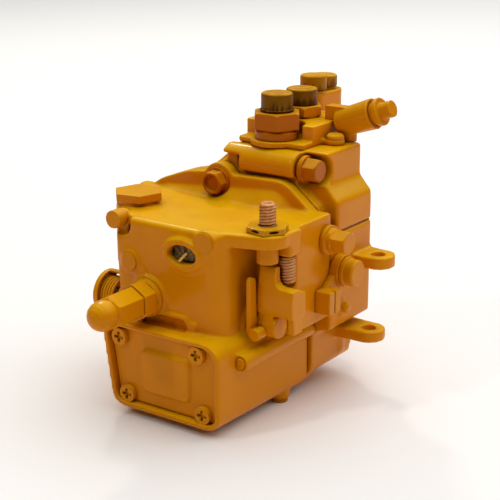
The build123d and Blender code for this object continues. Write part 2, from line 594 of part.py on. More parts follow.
# ---------------------------------------------------------------- covers, gaskets and plugs of the case
def end_cover():
    """Recessed cover of the lower box with a raised pad."""
    plate = raise_y(box_outline(0, RIM + GAP), COVER_FACE, COVER_FACE + COVER_T)
    x0, x1, z0, z1 = PAD
    pad = outline([(x0, z1), (x1, z1), (x1, z0), (x0, z0)], [5, 5, 5, 5])
    pad = raise_y(pad, COVER_FACE - PAD_RISE, COVER_FACE + 1)
    pad = chamfer(pad.faces().sort_by(Axis.Y)[0].edges(), 1.2)
    plate += pad
    for x, z in SCREW_SPOTS:
        plate -= rod_y(SCREW_R + FIT, COVER_FACE - 1, COVER_FACE + COVER_T + 1, x, z)
    return plate


def end_cover_gasket():
    """Gasket between the end cover and its seat."""
    ring = box_outline(0, RIM + GAP)
    gasket = raise_y(ring, SEAT_Y - GASKET, SEAT_Y)
    gasket -= raise_y(box_outline(0, RIM + 5), SEAT_Y - 2, SEAT_Y + 1)
    for x, z in SCREW_SPOTS:
        gasket += rod_y(6.0, SEAT_Y - GASKET, SEAT_Y, x, z) & raise_y(ring, SEAT_Y - 2, SEAT_Y + 1)
        gasket -= rod_y(SCREW_R + FIT, SEAT_Y - 2, SEAT_Y + 1, x, z)
    return gasket


def end_cover_screw(x, z):
    """Pan head screw with a cross recess."""
    head = Pos(0, 0, 1.3) * Cylinder(SCREW_HEAD_R, 2.6)
    head = chamfer(head.edges().sort_by(Axis.Z)[-1], 1.0)
    head -= Pos(0, 0, 2.2) * (Box(4.6, 1.1, 2.4) + Box(1.1, 4.6, 2.4))
    shank = Pos(0, 0, -5.5) * Cylinder(SCREW_R, 11)
    return along_y(head + shank, x, COVER_FACE, z)


def case_gasket():
    """Gasket in the joint between case and pump body."""
    side = Polygon((BLOCK_LEFT, BLOCK_BASE), (BLOCK_RIGHT, BLOCK_BASE), (BLOCK_RIGHT, CASE_TOP),
                   (BLOCK_LEFT, CASE_TOP), align=None)
    whole = flange_outline() + side
    gasket = raise_y(whole - offset(whole.face(), -WALL), BACK_Y, SEAM_Y)
    for x, z in FLANGE_BOLTS:
        gasket += rod_y(2 * BOLT_R + 2, BACK_Y, SEAM_Y, x, z) & raise_y(whole, BACK_Y - 1, SEAM_Y + 1)
    for x, z in FLANGE_BOLTS:
        gasket -= rod_y(BOLT_R + GAP, BACK_Y - 1, SEAM_Y + 1, x, z)
    return gasket


def head_gasket():
    """Gasket between pump body and head housing."""
    flat = block(BODY_LEFT, BLOCK_RIGHT, UPPER_FRONT, MOUNT_Y, SPLIT_Z - GASKET, SPLIT_Z)
    return flat - rod_z(TAPPET_R + 1, SPLIT_Z - 2, SPLIT_Z + 1, 0, CAM_Y)


def flange_bolt(x, z):
    """Hexagon flange bolt with a dished head."""
    seat = BACK_Y - FLANGE
    washer = Pos(0, 0, 0.7) * Cylinder(8.6, 1.4)
    head = Pos(0, 0, 1.4) * hexagon(13, 6.5, 1.2)
    head -= Pos(0, 0, 7.9) * Cylinder(4.4, 1.6)
    shank = Pos(0, 0, -8) * Cylinder(BOLT_R, 16)
    return along_y(washer + head + shank, x, seat, z)


def filler_plug():
    """Hexagon plug that closes the oil filler."""
    seat = CASE_TOP + FILL_BOSS + ADJ_WASHER_T
    head = Pos(0, 0, seat) * hexagon(22, 5.2, 1.6, 12)
    return Pos(FILL_X, FILL_Y, 0) * head + rod_z(FILL_R, CASE_TOP - 9, seat, FILL_X, FILL_Y)


def filler_washer():
    """Sealing washer under the filler plug."""
    low = CASE_TOP + FILL_BOSS
    ring = rod_z(11.0, low, low + ADJ_WASHER_T, FILL_X, FILL_Y)
    return ring - rod_z(FILL_R + FIT, low - 1, low + 2, FILL_X, FILL_Y)


def case_bolt():
    """Plain round-headed bolt at the upper left corner of the case."""
    head = rod_y(CORNER_BOLT_R, CASE_Y - 8.5, CASE_Y - CORNER_BOSS, CORNER_BOLT_X, CORNER_BOLT_Z)
    return chamfer(head.edges().sort_by(Axis.Y)[0], 0.5)


def core_plug(x, z, r, rise):
    """Pressed core plug, just proud of its boss."""
    plug = rod_y(r, CASE_Y - rise - 0.8, CASE_Y - rise, x, z)
    return chamfer(plug.edges().sort_by(Axis.Y)[0], 0.4)


def sight_disc():
    """Toothed disc behind the sight port, with its timing mark."""
    oval = Pos(SIGHT_X, SIGHT_Z) * Ellipse(SIGHT_W / 2 - FIT, SIGHT_H / 2 - FIT)
    return raise_y(oval, CASE_Y + SIGHT_SINK, CASE_Y + WALL)


def sight_pin():
    """Pointer pin in the sight port."""
    return rod_y(0.9, CASE_Y + SIGHT_SINK - 5.2, CASE_Y + SIGHT_SINK, SIGHT_X - 0.6, SIGHT_Z - 1.5)


# ---------------------------------------------------------------- speed adjuster
def adjuster_washers():
    """Two sealing rings under the lock nut."""
    hole = rod_y(ADJ_R + FIT, ADJ_FACE - 5, ADJ_FACE + 1, ADJ_X, ADJ_Z)
    yield rod_y(11.6, ADJ_FACE - ADJ_WASHER_T, ADJ_FACE, ADJ_X, ADJ_Z) - hole
    yield rod_y(10.9, ADJ_NUT_Y, ADJ_FACE - ADJ_WASHER_T, ADJ_X, ADJ_Z) - hole


def adjuster_lock_nut():
    """Lock nut of the speed adjuster."""
    nut = hexagon(ADJ_AF + 2.4, ADJ_NUT, 1.0, 30) - Pos(0, 0, 5) * Cylinder(ADJ_R + FIT, 30)
    return along_y(nut, ADJ_X, ADJ_NUT_Y, ADJ_Z)


def dome(r):
    """Half ball standing on z = 0, turned in short straight steps."""
    steps = [math.radians(angle) for angle in (0, 18, 36, 54, 72, 90)]
    arc = [(r * math.cos(angle), r * math.sin(angle)) for angle in steps]
    return revolve(Plane.XZ * Polygon(*arc, (0, 0), align=None), Axis.Z)


def adjuster_cap_nut():
    """Long acorn nut that covers the adjuster."""
    body = hexagon(ADJ_AF, ADJ_CAP_HEX, 1.2, 30)
    body += Pos(0, 0, ADJ_CAP_HEX) * Cylinder(DOME_R + 0.3, 1.6)
    body += Pos(0, 0, ADJ_CAP_HEX + 2.5) * Cylinder(DOME_R, 5.0)
    body += Pos(0, 0, ADJ_CAP_HEX + 5.0) * dome(DOME_R)
    body -= Pos(0, 0, SPRING_SEAT / 2 + 3) * Cylinder(ADJ_R + FIT, SPRING_SEAT + 6.2)
    return along_y(body, ADJ_X, ADJ_CAP_Y, ADJ_Z)


def adjuster_sleeve():
    """Threaded sleeve that holds the governor spring."""
    front = ADJ_CAP_Y - SPRING_SEAT - 5
    sleeve = rod_y(ADJ_R, front, CASE_Y + ADJ_DEEP, ADJ_X, ADJ_Z)
    return sleeve - rod_y(SPRING_BORE, front + 5, CASE_Y + ADJ_DEEP + 1, ADJ_X, ADJ_Z)


def governor_spring():
    """Main governor spring, between the sleeve and the governor lever."""
    front = ADJ_CAP_Y - SPRING_SEAT
    turns = 7
    length = LEVER_FRONT - GAP - front - 0.4
    spring = coil(3.8, 1.3, (length - 1.3) / turns, turns)
    return along_y(spring, ADJ_X, LEVER_FRONT - GAP - 0.2, ADJ_Z)


# ---------------------------------------------------------------- outlets
def holder(spot, seat, across, hex_low, hex_high, end, end_r, turn):
    """Delivery valve holder: round foot, hexagon and threaded end."""
    foot = rod_z(across / 2, seat, hex_low, *spot)
    body = foot + Pos(*spot, hex_low) * hexagon(across, hex_high - hex_low, 1.4, turn)
    body += rod_z(end_r, hex_high - 0.5, end, *spot)
    body += rod_z(SHANK_R, seat - 2.8, seat, *spot)
    return body - rod_z(VALVE_BORE, seat - 4, end + 1, *spot)


def front_outlet_holder():
    """Large holder at the front of the head."""
    body = holder(FRONT_OUTLET, PLATE_TOP, FRONT_AF, 121.5, HEX_TOP, end_under(FRONT_CAP), END_R, 4)
    groove = rod_z(20, 120.2, 121.5, *FRONT_OUTLET) - rod_z(12.2, 120, 122, *FRONT_OUTLET)
    return body - groove


def side_outlet_holder():
    """Holder behind the raised bar."""
    return holder(SIDE_OUTLET, BAR_TOP, SIDE_AF, BAR_TOP + 1.0, HEX_TOP, end_under(SIDE_CAP), END_R, SIDE_TURN)


def rear_outlet_holder(spot, cap):
    """Holder screwed into the rear tower."""
    end = end_under(cap)
    body = rod_z(SMALL_SHANK_R, TOWER_TOP - 12, TOWER_TOP, *spot) + rod_z(SMALL_END_R, TOWER_TOP, end, *spot)
    body += rod_z(TOWER_NECK - 0.1, TOWER_TOP, TOWER_TOP + 1.6, *spot)
    return body - rod_z(VALVE_BORE, TOWER_TOP - 13, end + 1, *spot)


def end_under(cap):
    """Height up to which the threaded end under a cap stands."""
    low, height, roof = cap
    return low + height - roof


def outlet_cap(spot, r, size, end_r, lip):
    """Protective cap pushed over a threaded end."""
    low, height, roof = size
    cap = rod_z(r, low, low + height, *spot)
    cap = chamfer(cap.edges().sort_by(Axis.Z)[-1], 0.9)
    if lip:
        cap += rod_z(r + 0.7, low, low + 0.9, *spot)
    return cap - rod_z(end_r + FIT, low - 1, end_under(size) + 0.2, *spot)


def delivery_valve(spot, low):
    """Delivery valve: guide and collar."""
    return rod_z(VALVE_R, low, low + 9, *spot) + rod_z(VALVE_R - 0.7, low + 9, low + 14, *spot)


def head_bolt():
    """Bolt that holds the head at its right rear corner."""
    head = chamfer(rod_z(5.6, PLATE_TOP, PLATE_TOP + 3.2, *HEAD_BOLT).edges().sort_by(Axis.Z)[-1], 1.2)
    return head + rod_z(BOLT_R, HOUSING_TOP - 11, PLATE_TOP + 1, *HEAD_BOLT)


# ---------------------------------------------------------------- fuel inlet, gallery and side fittings
def inlet_turn(shape):
    """Lays a piece modelled along +Z onto the tilted axis of the inlet."""
    return Pos(INLET_X, INLET_Y, INLET_Z) * Rot(0, 90 - INLET_TILT, 0) * shape


def inlet_elbow():
    """Inlet union: foot block, neck and flared tube that points up to the right."""
    tube = inlet_turn(Pos(0, 0, INLET_REACH / 2 - 3) * Cone(8.6, INLET_R, INLET_REACH + 6))
    neck = rod_z(4.6, HOUSING_TOP, INLET_Z, INLET_X + 0.5, INLET_Y)
    foot = block(23, INLET_X, INLET_Y - 4, INLET_Y + 4, BAR_TOP, BAR_TOP + 8.6)
    body = tube + neck + foot + Pos(INLET_X, INLET_Y, INLET_Z) * (dome(7.8) + Rot(180, 0, 0) * dome(7.8))
    return body - inlet_turn(Pos(0, 0, INLET_REACH - 5) * Cylinder(INLET_BORE, 12))


def inlet_plug():
    """Flanged protective plug in the inlet."""
    plug = Pos(0, 0, INLET_REACH - 2) * Cylinder(INLET_BORE - FIT, 9)
    plug += Pos(0, 0, INLET_REACH + 4) * Cylinder(8.6, 3.0)
    plug += Pos(0, 0, INLET_REACH + 9) * Cylinder(5.2, 8)
    return inlet_turn(plug)


def gallery_plug():
    """Hexagon plug with a collar that closes the fuel gallery."""
    shank = Pos(0, 0, -7) * Cylinder(GALLERY_BORE, 20)
    collar = Pos(0, 0, 3.6) * Cylinder(8.4, 3.0)
    head = Pos(0, 0, 5) * hexagon(13, 9, 1.5, 10)
    return along_x(shank + collar + head, GALLERY_END, GALLERY_Y, GALLERY_Z)


def side_bolt():
    """Long hexagon bolt with its collars on the throttle side."""
    bolt = Pos(0, 0, 1.6) * Cylinder(9.0, 3.2) + Pos(0, 0, 4.6) * Cylinder(7.4, 3.0)
    bolt += Pos(0, 0, 6) * hexagon(13, 9.5, 1.2, 8)
    bolt += Pos(0, 0, -2) * Cylinder(BOLT_R, 4)
    return along_x(bolt, BLOCK_RIGHT, SIDE_BOLT_Y, SIDE_BOLT_Z)


def leak_off_union():
    """Ring union clamped by the leak-off bolt, with its square end block."""
    ring = rod_x(UNION_R, BLOCK_RIGHT, BLOCK_RIGHT + UNION_T, UNION_Y, UNION_Z)
    arm = Plane.YZ * hull_of((UNION_Y, UNION_Z, 6), (-58.5, 29, 5))
    arm = Pos(BLOCK_RIGHT, 0, 0) * extrude(arm, 4, dir=(1, 0, 0))
    end = block(BLOCK_RIGHT, BLOCK_RIGHT + 10.5, -65, -52.5, 21.5, 35.5)
    end = chamfer(end.edges().filter_by(Axis.X), 0.6)
    slot = block(BLOCK_RIGHT + 8, BLOCK_RIGHT + 12, -59.4, -58.4, 20, 37)
    bore = rod_x(UNION_BOLT_R + FIT, BLOCK_RIGHT - 1, BLOCK_RIGHT + UNION_T + 1, UNION_Y, UNION_Z)
    return ring + arm + end - slot - bore


def leak_off_bolt():
    """Round-headed hollow bolt through the leak-off union."""
    bolt = Pos(0, 0, 7.2) * Cylinder(9.2, 2.4) + Pos(0, 0, 11.5) * Cylinder(8.2, 6.4)
    bolt = chamfer(bolt.edges().filter_by(GeomType.CIRCLE).sort_by(Axis.Z)[-1], 1.0)
    bolt += Pos(0, 0, 1) * Cylinder(UNION_BOLT_R, 12)
    return along_x(bolt, BLOCK_RIGHT, UNION_Y, UNION_Z)


def ridge_plug():
    """Plug in the front end of the oil gallery ridge."""
    return rod_y(RIDGE_BORE, RIDGE_FRONT - 0.8, RIDGE_FRONT + 10, RIDGE_X, RIDGE_Z)


def drain_plug():
    """Drain plug in the round foot under the case."""
    seat = BOX_BASE - FOOT_H
    head = rod_z(FOOT_R - 1.0, seat - 2.0, seat, FOOT_X, FOOT_Y)
    return head + rod_z(FOOT_PLUG_R, seat, BOX_BASE + 6, FOOT_X, FOOT_Y)


# ---------------------------------------------------------------- speed stop screws
def high_stop_screw():
    """High-speed stop screw, upright in the lug."""
    return rod_z(STUD_R, CASE_TOP - LUG_T - 9, CASE_TOP + 16.5, LUG_X, LUG_Y)


def high_stop_nut():
    """Lock nut with holes for locking wire."""
    nut = hexagon(22, NUT_H, 0.8, 25) - Cylinder(STUD_R + FIT, 20)
    for n in range(6):
        nut -= Rot(0, 0, 25 + 60 * n) * Pos(10.2, 0, NUT_H / 2) * Rot(90, 0, 0) * Cylinder(0.9, 12)
    return Pos(LUG_X, LUG_Y, CASE_TOP) * nut


def high_stop_collar():
    """Collar on the stop screw under the lug."""
    low = CASE_TOP - LUG_T
    collar = rod_z(COLLAR_R, low - COLLAR_LONG, low, LUG_X, LUG_Y)
    return collar - rod_z(STUD_R + FIT, low - 12, low + 1, LUG_X, LUG_Y)


def low_stop_screw():
    """Low-speed stop screw, which the throttle lever leans against."""
    return rod_z(STUD_R, LOW_STUD_END, CASE_TOP - 0.2, LOW_STUD_X, LOW_STUD_Y)


# ---------------------------------------------------------------- throttle side levers
def throttle_lever():
    """Broad throttle lever: hub, post and a saddle under the low-speed stop screw."""
    rear = BLOCK_FRONT - GAP
    points = [(-103, 29), (-103, 41), (-100, 58), (-95.6, 58), (-95.3, 44), (rear, 44), (rear, 29)]
    lever = raise_x(outline(points, [3, 3, 1.5, 1.5, 4.5, 1.5, 3]), LEVER_LEFT, LEVER_RIGHT)
    lever += rod_x(THR_HUB_R, LEVER_LEFT, 52, THR_Y, THR_Z)
    lever += block(LEVER_LEFT, 50, THR_Y - 6, THR_Y + 6, THR_Z, 31)
    lever += block(LEVER_RIGHT - 4, LEVER_RIGHT, -101, -92, 20, 31)
    return lever - rod_x(THR_R + FIT, LEVER_LEFT - 1, 51, THR_Y, THR_Z)


def throttle_link():
    """Thin link plate beside the hub with its pin boss."""
    plate = hull_of((THR_Y, THR_Z, THR_HUB_R), (-106, 20, LINK_END_R))
    plate += hull_of((-106, 20, LINK_END_R), (-107, 49, 3))
    link = raise_x(plate, LINK_LEFT, LEVER_LEFT)
    link += rod_y(3.6, -111, -102.5, 43.2, 19.0)
    link += block(38, 43.2, -109, -104, 16.5, 21.5)
    link -= rod_x(THR_R + FIT, 30, 45, THR_Y, THR_Z)
    return link - rod_x(THR_HUB_R + 0.2, LEVER_LEFT, 54, THR_Y, THR_Z)


def throttle_shaft():
    """Throttle shaft with its crank inside the case."""
    shaft = rod_x(THR_R, 12.5, 51, THR_Y, THR_Z)
    crank = raise_x(hull_of((THR_Y, THR_Z, 8), (-80, 30, 4)), 13, 19)
    return shaft + crank + rod_x(2.2, 7, 14, -80, 30)


# ---------------------------------------------------------------- stop lever side
def stop_shaft():
    """Stop shaft through the left wall, with its cam inside."""
    return rod_x(STOP_R, STOP_LEVER_X - 1.2, -37, STOP_Y, STOP_Z) + rod_x(6.5, -37, -33, STOP_Y, STOP_Z)


def stop_lever():
    """Stop lever with its arm pointing to the rear."""
    arm = raise_x(hull_of((STOP_Y, STOP_Z, 8), (-93, 23, 4)), STOP_LEVER_X, STOP_LEVER_X + STOP_LEVER_T)
    arm -= rod_x(1.8, STOP_LEVER_X - 1, STOP_LEVER_X + 4, -93, 23)
    return arm - rod_x(STOP_R + FIT, STOP_LEVER_X - 1, STOP_LEVER_X + 4, STOP_Y, STOP_Z)


def stop_spring():
    """Return spring round the stop shaft."""
    length = CUP_FACE - 1.8 - (STOP_LEVER_X + 3.0)
    turns = 5
    spring = coil(8.3, 1.7, (length - 1.7) / turns, turns)
    return Pos(STOP_LEVER_X + 2.9, STOP_Y, STOP_Z) * Rot(0, 90, 0) * spring


def spring_cup():
    """Bent strap round the return spring."""
    disc = rod_x(CUP_R, CUP_FACE - CUP_T, CUP_FACE, STOP_Y, STOP_Z)
    strap = rod_x(CUP_R, STOP_LEVER_X + 3.2, CUP_FACE - CUP_T, STOP_Y, STOP_Z)
    strap -= rod_x(CUP_R - CUP_T, STOP_LEVER_X + 2, CUP_FACE - CUP_T, STOP_Y, STOP_Z)
    strap -= block(-80, CUP_FACE - CUP_T, STOP_Y, STOP_Y + 40, STOP_Z - 40, STOP_Z + 8)
    strap -= block(-80, CUP_FACE - CUP_T, STOP_Y - 40, STOP_Y + 10, STOP_Z - 40, STOP_Z - 7)
    return disc + strap - rod_x(STOP_R + GAP, CUP_FACE - 3, CUP_FACE + 1, STOP_Y, STOP_Z)


# ---------------------------------------------------------------- shaft line inside
def camshaft():
    """Camshaft with four lobes, the governor nose and the drive end."""
    shaft = rod_y(SHAFT_R, CARRIER_Y, REAR_BEARING_Y + BEARING_W, 0, 0)
    shaft += rod_y(NOSE_R, NOSE_END, CARRIER_Y + 1, 0, 0)
    shaft += rod_y(SEAL_LAND_R, REAR_BEARING_Y + BEARING_W - 1, PILOT_DEEP + GAP, 0, 0)
    shaft += rod_y(DRIVE_R, PILOT_DEEP, DRIVE_END, 0, 0)
    lobes = Circle(CAM_BASE_R)
    reach = CAM_BASE_R + CAM_LIFT - CAM_TIP_R
    for n in range(CAM_LOBES):
        angle = math.radians(45 + n * 360 / CAM_LOBES)
        lobes += hull_of((0, 0, CAM_BASE_R), (reach * math.cos(angle), reach * math.sin(angle), CAM_TIP_R))
    shaft += raise_y(lobes, CAM_Y - CAM_W / 2, CAM_Y + CAM_W / 2)
    return shaft


def bearing(r, y):
    """Plain bearing bush of the camshaft."""
    return rod_y(r, y, y + BEARING_W, 0, 0) - rod_y(SHAFT_R + FIT, y - 1, y + BEARING_W + 1, 0, 0)


def shaft_seal():
    """Lip seal behind the drive end."""
    low = REAR_BEARING_Y + BEARING_W
    ring = rod_y(REAR_BEARING_R, low, PILOT_DEEP - 0.5, 0, 0)
    return ring - rod_y(SEAL_LAND_R + FIT, low - 1, PILOT_DEEP + 1, 0, 0)


def flyweight_carrier():
    """Disc on the camshaft with two pairs of ears for the flyweights."""
    carrier = rod_y(CARRIER_R, CARRIER_Y, CARRIER_Y + CARRIER_T, 0, 0)
    for side in (-1, 1):
        for level in (-1, 1):
            low, high = sorted((side * 12.5, side * 19))
            base, top = sorted((level * 7.3, level * 10.3))
            carrier += block(low, high, WEIGHT_Y - 4, CARRIER_Y + 1, base, top)
    for side in (-1, 1):
        carrier -= rod_z(PIN_R + FIT, -12, 12, side * WEIGHT_X, WEIGHT_Y)
    return carrier - rod_y(SHAFT_R + FIT, CARRIER_Y - 1, CARRIER_Y + CARRIER_T + 1, 0, 0)


def flyweight(side):
    """Bell-crank flyweight: heavy arm beside the sleeve, toe behind its flange."""
    weight = block(12.5, 19.2, -82, -63.5, -7, 7)
    weight = fillet(weight.edges().filter_by(Axis.Y).sort_by(Axis.X)[-2:], 3.0)
    toe = block(7.6, 14, SLEEVE_BACK + GAP, -63.5, -3, 3)
    whole = weight + toe - rod_z(PIN_R + FIT, -12, 12, WEIGHT_X, WEIGHT_Y)
    return whole if side > 0 else mirror(whole, Plane.YZ)


def governor_sleeve():
    """Sliding sleeve that carries the flyweight travel to the lever."""
    sleeve = rod_y(10.5, SLEEVE_BACK - 2, SLEEVE_BACK, 0, 0) + rod_y(SLEEVE_R, -89, SLEEVE_BACK - 1, 0, 0)
    sleeve += rod_y(5.0, LEVER_BACK + 1.8, -88, 0, 0) + rod_y(SLEEVE_TIP_R, LEVER_BACK + GAP, -90, 0, 0)
    return sleeve - rod_y(NOSE_R + FIT, NOSE_END - 2.7, SLEEVE_BACK + 1, 0, 0)


def governor_lever():
    """Three-armed governor lever: sleeve pad, spring seat and control rod arm."""
    plate = hull_of((0, 0, 7), (0, PIVOT_Z, 6)) + hull_of((0, PIVOT_Z, 6), (ADJ_X, ADJ_Z, 6.5))
    plate += hull_of((0, PIVOT_Z, 6), (ROD_X, ROD_Z, 5))
    lever = raise_y(plate, LEVER_FRONT, LEVER_BACK) + rod_x(6, -14, 8, PIVOT_Y, PIVOT_Z)
    return lever - rod_x(PIVOT_R + FIT, -24, 9, PIVOT_Y, PIVOT_Z)


def lever_pivot():
    """Fixed pin that the governor lever swings on."""
    return rod_x(PIVOT_R, PIVOT_END, 8.5, PIVOT_Y, PIVOT_Z)


def control_rod():
    """Rod that moves the metering control."""
    return rod_y(ROD_R, LEVER_BACK + GAP, -20, ROD_X, ROD_Z)


# ---------------------------------------------------------------- plunger inside the head
def tappet():
    """Roller tappet body."""
    body = rod_z(TAPPET_R, TAPPET_BASE, TAPPET_TOP, 0, CAM_Y)
    body -= block(-7.6, 7.6, CAM_Y - 5.6, CAM_Y + 5.6, TAPPET_BASE - 1, ROLLER_Z + 8)
    return body - rod_y(PIN_R + FIT, CAM_Y - 15, CAM_Y + 15, 0, ROLLER_Z)


def tappet_roller():
    """Roller of the tappet."""
    return rod_y(ROLLER_R, CAM_Y - 5, CAM_Y + 5, 0, ROLLER_Z) - rod_y(PIN_R + FIT, CAM_Y - 6, CAM_Y + 6, 0, ROLLER_Z)


def plunger():
    """Pumping plunger with its foot."""
    return rod_z(PLUNGER_R, TAPPET_TOP, PLUNGER_TOP, 0, CAM_Y) + rod_z(7.2, TAPPET_TOP, TAPPET_TOP + 3, 0, CAM_Y)


def barrel():
    """Barrel held in the head housing."""
    return rod_z(BARREL_R, BARREL_BASE, HOUSING_TOP, 0, CAM_Y) - rod_z(
        PLUNGER_R + FIT, BARREL_BASE - 1, BARREL_BORE_TOP, 0, CAM_Y)


def plunger_spring():
    """Return spring of the plunger."""
    low = TAPPET_TOP + GAP
    high = BARREL_BASE - GAP
    turns = 5
    return Pos(0, CAM_Y, low) * coil(9.6, PLUNGER_WIRE, (high - low - 1.2 * PLUNGER_WIRE) / turns, turns)


# ---------------------------------------------------------------- nodes
keep("governor_case", governor_case())
keep("end_cover", end_cover())
keep("end_cover_gasket", end_cover_gasket())
keep("end_cover_screws", *[end_cover_screw(x, z) for x, z in SCREW_SPOTS])
keep("case_gasket", case_gasket())
keep("head_gasket", head_gasket())
keep("pump_body", pump_body())
keep("head_housing", head_housing())
keep("head_plate", head_plate())
keep("flange_bolts", *[flange_bolt(x, z) for x, z in FLANGE_BOLTS])
keep("filler_plug", filler_plug())
keep("case_bolt", case_bolt())
keep("core_plugs", *[core_plug(*spot) for spot in CORE_PLUGS])
keep("sight_disc", sight_disc())
keep("sight_pin", sight_pin())
keep("sealing_washers", filler_washer(), *adjuster_washers())
keep("adjuster_lock_nut", adjuster_lock_nut())
keep("adjuster_cap_nut", adjuster_cap_nut())
keep("adjuster_sleeve", adjuster_sleeve())
keep("governor_spring", governor_spring())
keep("front_outlet_holder", front_outlet_holder())
keep("side_outlet_holder", side_outlet_holder())
keep("rear_outlet_holders", rear_outlet_holder(THIRD_OUTLET, THIRD_CAP), rear_outlet_holder(REAR_OUTLET, REAR_CAP))
keep("outlet_caps", outlet_cap(FRONT_OUTLET, CAP_R, FRONT_CAP, END_R, True),
     outlet_cap(SIDE_OUTLET, CAP_R, SIDE_CAP, END_R, False))
keep("small_outlet_caps", outlet_cap(THIRD_OUTLET, SMALL_CAP_R, THIRD_CAP, SMALL_END_R, False),
     outlet_cap(REAR_OUTLET, SMALL_CAP_R, REAR_CAP, SMALL_END_R, False))
keep("delivery_valves", delivery_valve(FRONT_OUTLET, HOUSING_TOP + 3), delivery_valve(SIDE_OUTLET, BAR_TOP - 0.5),
     delivery_valve(THIRD_OUTLET, TOWER_TOP - 10), delivery_valve(REAR_OUTLET, TOWER_TOP - 10))
keep("head_bolt", head_bolt())
keep("inlet_elbow", inlet_elbow())
keep("inlet_plug", inlet_plug())
keep("gallery_plug", gallery_plug())
keep("side_bolt", side_bolt())
keep("leak_off_union", leak_off_union())
keep("leak_off_bolt", leak_off_bolt())
keep("oil_plugs", ridge_plug(), drain_plug())
keep("stop_screws", high_stop_screw(), low_stop_screw())
keep("high_stop_nut", high_stop_nut())
keep("high_stop_collar", high_stop_collar())
keep("throttle_lever", throttle_lever())
keep("throttle_link", throttle_link())
keep("throttle_shaft", throttle_shaft())
keep("stop_shaft", stop_shaft())
keep("stop_lever", stop_lever())
keep("stop_spring", stop_spring())
keep("spring_cup", spring_cup())
keep("camshaft", camshaft())
keep("shaft_bearings", bearing(BEARING_R, SEAM_Y), bearing(REAR_BEARING_R, REAR_BEARING_Y))
keep("shaft_seal", shaft_seal())
keep("flyweight_carrier", flyweight_carrier())
keep("flyweight_left", flyweight(-1))
keep("flyweight_right", flyweight(1))
keep("flyweight_pins", *[rod_z(PIN_R, -10.3, 10.3, side * WEIGHT_X, WEIGHT_Y) for side in (-1, 1)])
keep("governor_sleeve", governor_sleeve())
keep("governor_lever", governor_lever())
keep("lever_pivot", lever_pivot())
keep("control_rod", control_rod())
keep("tappet", tappet())
keep("tappet_roller", tappet_roller(), rod_y(PIN_R, CAM_Y - 10, CAM_Y + 10, 0, ROLLER_Z))
keep("plunger", plunger())
keep("barrel", barrel())
keep("plunger_spring", plunger_spring())

os.makedirs("parts", exist_ok=True)
for name, node in NODES.items():
    export_step(node, f"parts/{name}.step")
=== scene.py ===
import json
import math
import bmesh
import bpy
from mathutils import Matrix, Vector


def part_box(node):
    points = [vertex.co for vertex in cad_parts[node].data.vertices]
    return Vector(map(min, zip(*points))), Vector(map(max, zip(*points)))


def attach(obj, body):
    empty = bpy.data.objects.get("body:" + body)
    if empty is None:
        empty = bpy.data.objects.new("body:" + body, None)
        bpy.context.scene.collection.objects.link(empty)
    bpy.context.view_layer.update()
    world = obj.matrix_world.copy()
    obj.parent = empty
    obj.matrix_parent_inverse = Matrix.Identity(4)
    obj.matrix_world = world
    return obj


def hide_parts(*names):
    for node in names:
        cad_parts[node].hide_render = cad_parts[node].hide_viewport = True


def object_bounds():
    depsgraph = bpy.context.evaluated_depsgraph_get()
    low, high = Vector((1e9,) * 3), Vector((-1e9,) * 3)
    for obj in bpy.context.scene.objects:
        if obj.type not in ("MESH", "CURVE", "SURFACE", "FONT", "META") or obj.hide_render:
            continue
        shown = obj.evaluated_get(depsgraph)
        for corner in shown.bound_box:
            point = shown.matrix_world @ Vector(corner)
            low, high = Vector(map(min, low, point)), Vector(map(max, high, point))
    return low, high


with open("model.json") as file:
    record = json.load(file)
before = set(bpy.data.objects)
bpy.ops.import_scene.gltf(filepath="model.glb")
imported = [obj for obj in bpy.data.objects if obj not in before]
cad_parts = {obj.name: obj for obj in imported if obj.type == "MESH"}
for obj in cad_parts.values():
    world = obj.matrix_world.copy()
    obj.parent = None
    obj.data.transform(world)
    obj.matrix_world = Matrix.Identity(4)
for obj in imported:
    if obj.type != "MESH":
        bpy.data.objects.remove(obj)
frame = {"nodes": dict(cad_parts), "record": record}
cad_box = [list(corner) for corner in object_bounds()]

# ---------------------------------------------------------------- the studio
# The pump stands on a pale sheet under one large soft lamp. Three small lamps,
# ahead, behind and at the right, put the glints on its paint.
CAMERA_PLACE = (0.4408, -0.6781, 0.2852)
CAMERA_AIM = (0.045, -0.117, 0.072)
camera = bpy.data.objects.new("camera", bpy.data.cameras.new("camera"))
bpy.context.scene.collection.objects.link(camera)
camera.location = CAMERA_PLACE
camera.rotation_euler = (Vector(CAMERA_AIM) - camera.location).to_track_quat("-Z", "Y").to_euler()
camera.data.sensor_width = 36
camera.data.lens = 93.6
camera.data.clip_end = 20
bpy.context.scene.camera = camera


def lamp(name, place, size, power, tint, target=(0.0, -0.08, 0.04)):
    """Soft square lamp that looks at the pump."""
    data = bpy.data.lights.new(name, "AREA")
    data.size = size
    data.energy = power
    data.color = tint
    obj = bpy.data.objects.new(name, data)
    obj.location = place
    obj.rotation_euler = (Vector(target) - obj.location).to_track_quat("-Z", "Y").to_euler()
    bpy.context.scene.collection.objects.link(obj)


lamp("softbox", (0.3, 1.0, 2.4), size=5.0, power=128, tint=(1.0, 0.985, 0.96), target=(0.0, 0.6, 0.0))
lamp("key", (-0.45, -1.05, 1.0), size=0.10, power=2.6, tint=(1.0, 0.93, 0.80))
lamp("rim", (-1.15, 1.0, 1.35), size=0.18, power=6.0, tint=(1.0, 0.95, 0.84))
lamp("side", (1.5, -0.1, 0.9), size=0.12, power=1.1, tint=(1.0, 0.90, 0.72))
world = bpy.data.worlds.new("studio")
world.use_nodes = True
background = world.node_tree.nodes["Background"]
background.inputs["Color"].default_value = (1, 1, 1, 1)
background.inputs["Strength"].default_value = 0.085
bpy.context.scene.world = world
bpy.context.scene.view_settings.view_transform = "Standard"

